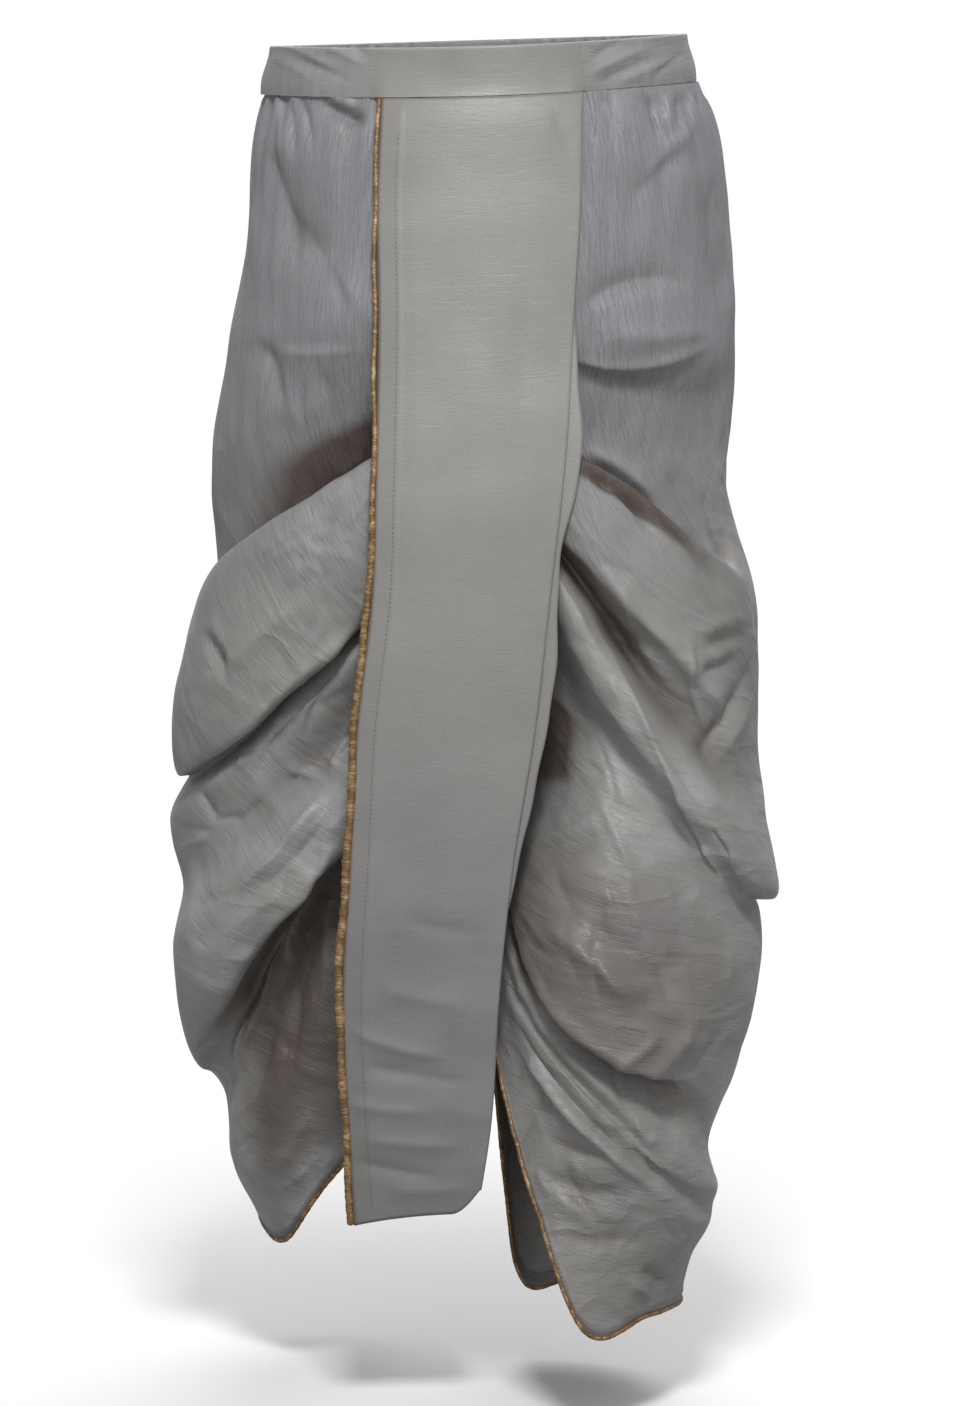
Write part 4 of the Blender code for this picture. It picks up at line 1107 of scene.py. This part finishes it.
def band_points(angles, seed, gathered):
    """Places on the band. The angle is 0 at the middle of the back and grows towards +X.

    A closed profile goes up the outer face, over the rounded top edge, down the inner face and under.
    Slanting creases and rumples move the outer face, and on the gathered part uneven gathers do too.
    """
    round_top = BAND_WALL / 2
    rise = round_top + np.linspace(1, 0, BAND_PROFILE) * (BAND_HEIGHT - round_top)
    over = np.linspace(0, np.pi, 7)[1:-1]
    drop = np.concatenate([rise, round_top * (1 - np.sin(over)), rise[::-1]])
    inset = np.concatenate([0 * rise, round_top * (1 - np.cos(over)), 0 * rise + BAND_WALL])
    drop, inset = np.append(drop, drop[0])[None], np.append(inset, 0)[None]
    angle = angles[:, None]
    widen = smooth_step(0, BAND_WIDENS_OVER, drop)
    half = BAND_HALF_WIDTH_TOP + (BAND_HALF_WIDTH_BOTTOM - BAND_HALF_WIDTH_TOP) * widen - inset
    depth = BAND_HALF_DEPTH - inset
    x = half * np.sin(angle)
    y = BAND_DEPTH_MIDDLE - depth * np.cos(angle)
    points = spread(x, y, waist_rise(x, y, drop) - drop)
    outer = 1 - inset / BAND_WALL
    facing = (np.cos(angle) > 0) * np.ones(drop.shape)
    moved = creased(points, facing, BAND_CREASES, BAND_CREASE_DEPTH) * outer
    around, level = np.broadcast_arrays(angle * BAND_TURN_LENGTH, drop)
    moved += BAND_RUMPLE_HEIGHT * crumple(around, level, 0.02, seed)
    if gathered:
        side = 0.35 * smooth_step(0.87, 0.78, np.cos(angle)) + 0.65 * smooth_step(0.55, -0.1, np.cos(angle))
        gathers = np.sin(52 * angle + 3 * np.sin(7 * angle))
        gathers = gathers + 0.5 * np.sin(97 * angle + 2 * np.sin(5 * angle))
        moved += BAND_GATHER_HEIGHT * gathers * side * (0.7 + 0.3 * np.cos(3 * angle))
    beside = 1 - smooth_step(0.9, 1.12, np.abs(x) / FLAT_HALF_WIDTH)
    moved += BAND_OVER_PANEL * (drop / BAND_HEIGHT) ** 3 * beside * outer * facing
    outward = unit(spread(np.sin(angle) * 0.7, -np.cos(angle), 0 * angle))
    return points + outward * moved[..., None]


BAND_GREY = (0.248, 0.244, 0.237, 1)
band_cloth = silk("gathered_band_silk", BAND_GREY, BAND_GREY, 0.0, 0.05, crinkle=0.4, slub=0.05, facet=0.2)
edge = np.arcsin(FLAT_HALF_WIDTH / BAND_HALF_WIDTH_TOP)
joint = 0.0001 / BAND_HALF_WIDTH_TOP
for name, node, start, end, steps, cut, gathered in (
    ("smooth_band_back", "waistband_back", -edge, edge, 100, 0.152, False),
    ("gathered_band", "waistband_gathered", edge + joint, 2 * np.pi - edge - joint, 900, 0.83, True),
):
    points = band_points(np.linspace(start, end, steps), 7, gathered)
    weave = spread(lengths(points, 1), lengths(points, 0))
    band = sheet_mesh(name, points, weave, tube=True)
    band.data.materials.append(band_cloth if gathered else panel_cloth)
    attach(band, "root")
    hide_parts(node)

# The studio: a pale paper floor in white air. A soft light stands high above the side that carries the panel,
# a weak one fills its shadows from low down on that side, and a wide one lights the other side.
FLOOR = -1.018
floor_y, floor_x = np.meshgrid(np.linspace(-9, 9, 3), np.linspace(-9, 9, 3), indexing="ij")
points = np.stack([floor_x, floor_y, np.full(floor_x.shape, FLOOR)], -1)
floor = sheet_mesh("studio_floor", points, points[..., :2], flip=True)
paper, shader, start = start_material("pale_paper")
shader.inputs["Roughness"].default_value = 0.9
# Away from the garment the paper is white where it is seen, so it has no edge, and throws little light back.
place = start.node("ShaderNodeTexCoord", output="Object")
level = place.node("ShaderNodeVectorMath", {"operation": "MULTIPLY"}, {0: place, 1: (1, 1, 0)})
away = level.node("ShaderNodeVectorMath", {"operation": "LENGTH"}, {0: level}, output="Value")
seen = start.node("ShaderNodeLightPath", output="Is Camera Ray")
feed(shader, "Base Color", seen.colour((0.3, 0.3, 0.3, 1), (0.92, 0.92, 0.92, 1)))
glow = start.node("ShaderNodeEmission", {}, {"Color": (1, 1, 1, 1), "Strength": 1.02})
mixed = {0: away.step(0.25, 1.0) * seen, 1: Signal(shader.outputs[0]), 2: glow}
both = start.node("ShaderNodeMixShader", {}, mixed)
surface = paper.node_tree.nodes["Material Output"].inputs["Surface"]
paper.node_tree.links.new(both.socket, surface)
floor.data.materials.append(paper)

world = bpy.data.worlds.new("studio")
bpy.context.scene.world = world
world.use_nodes = True
# The air is white where it is seen, and lights the cloth less than that.
sky = world.node_tree.nodes["Background"]
seen = Signal(sky.outputs[0]).node("ShaderNodeLightPath", output="Is Camera Ray")
sky.inputs["Color"].default_value = (1, 1, 1, 1)
world.node_tree.links.new((seen * 0.6 + 0.42).socket, sky.inputs["Strength"])


def soft_light(name, place, size, watts):
    """A square light at `place`, turned to the middle of the garment."""
    light = new_object(name, bpy.data.lights.new(name, "AREA"))
    light.data.size = size
    light.data.energy = watts
    aim_at(light, place, (0, 0, -0.5))


def aim_at(thing, place, target):
    """Puts a light or the camera at `place` and turns it to `target`."""
    towards = np.subtract(target, place)
    thing.location = place
    thing.rotation_mode = "QUATERNION"
    thing.rotation_quaternion = Vector(towards).to_track_quat("-Z", "Y")


soft_light("key", (0.08, -2.5, 2.5), 0.7, 103)
soft_light("fill", (0.25, -3.4, -0.4), 2.0, 27)
soft_light("back", (0.4, 2.2, 2.2), 2.4, 60)

# The camera is level with the waist, and its focal length was worked out in pixels of a picture this high.
SENSOR = 36
FOCAL_PIXELS = 5263
PICTURE_HEIGHT = 1406
camera = new_object("camera", bpy.data.cameras.new("camera"))
bpy.context.scene.camera = camera
camera.data.sensor_width = SENSOR
camera.data.lens = SENSOR * FOCAL_PIXELS / PICTURE_HEIGHT
aim_at(camera, (0.0049, -4.0, 0.0), (0.0049, 0.0, -0.504))
bpy.context.scene.view_settings.view_transform = "Standard"
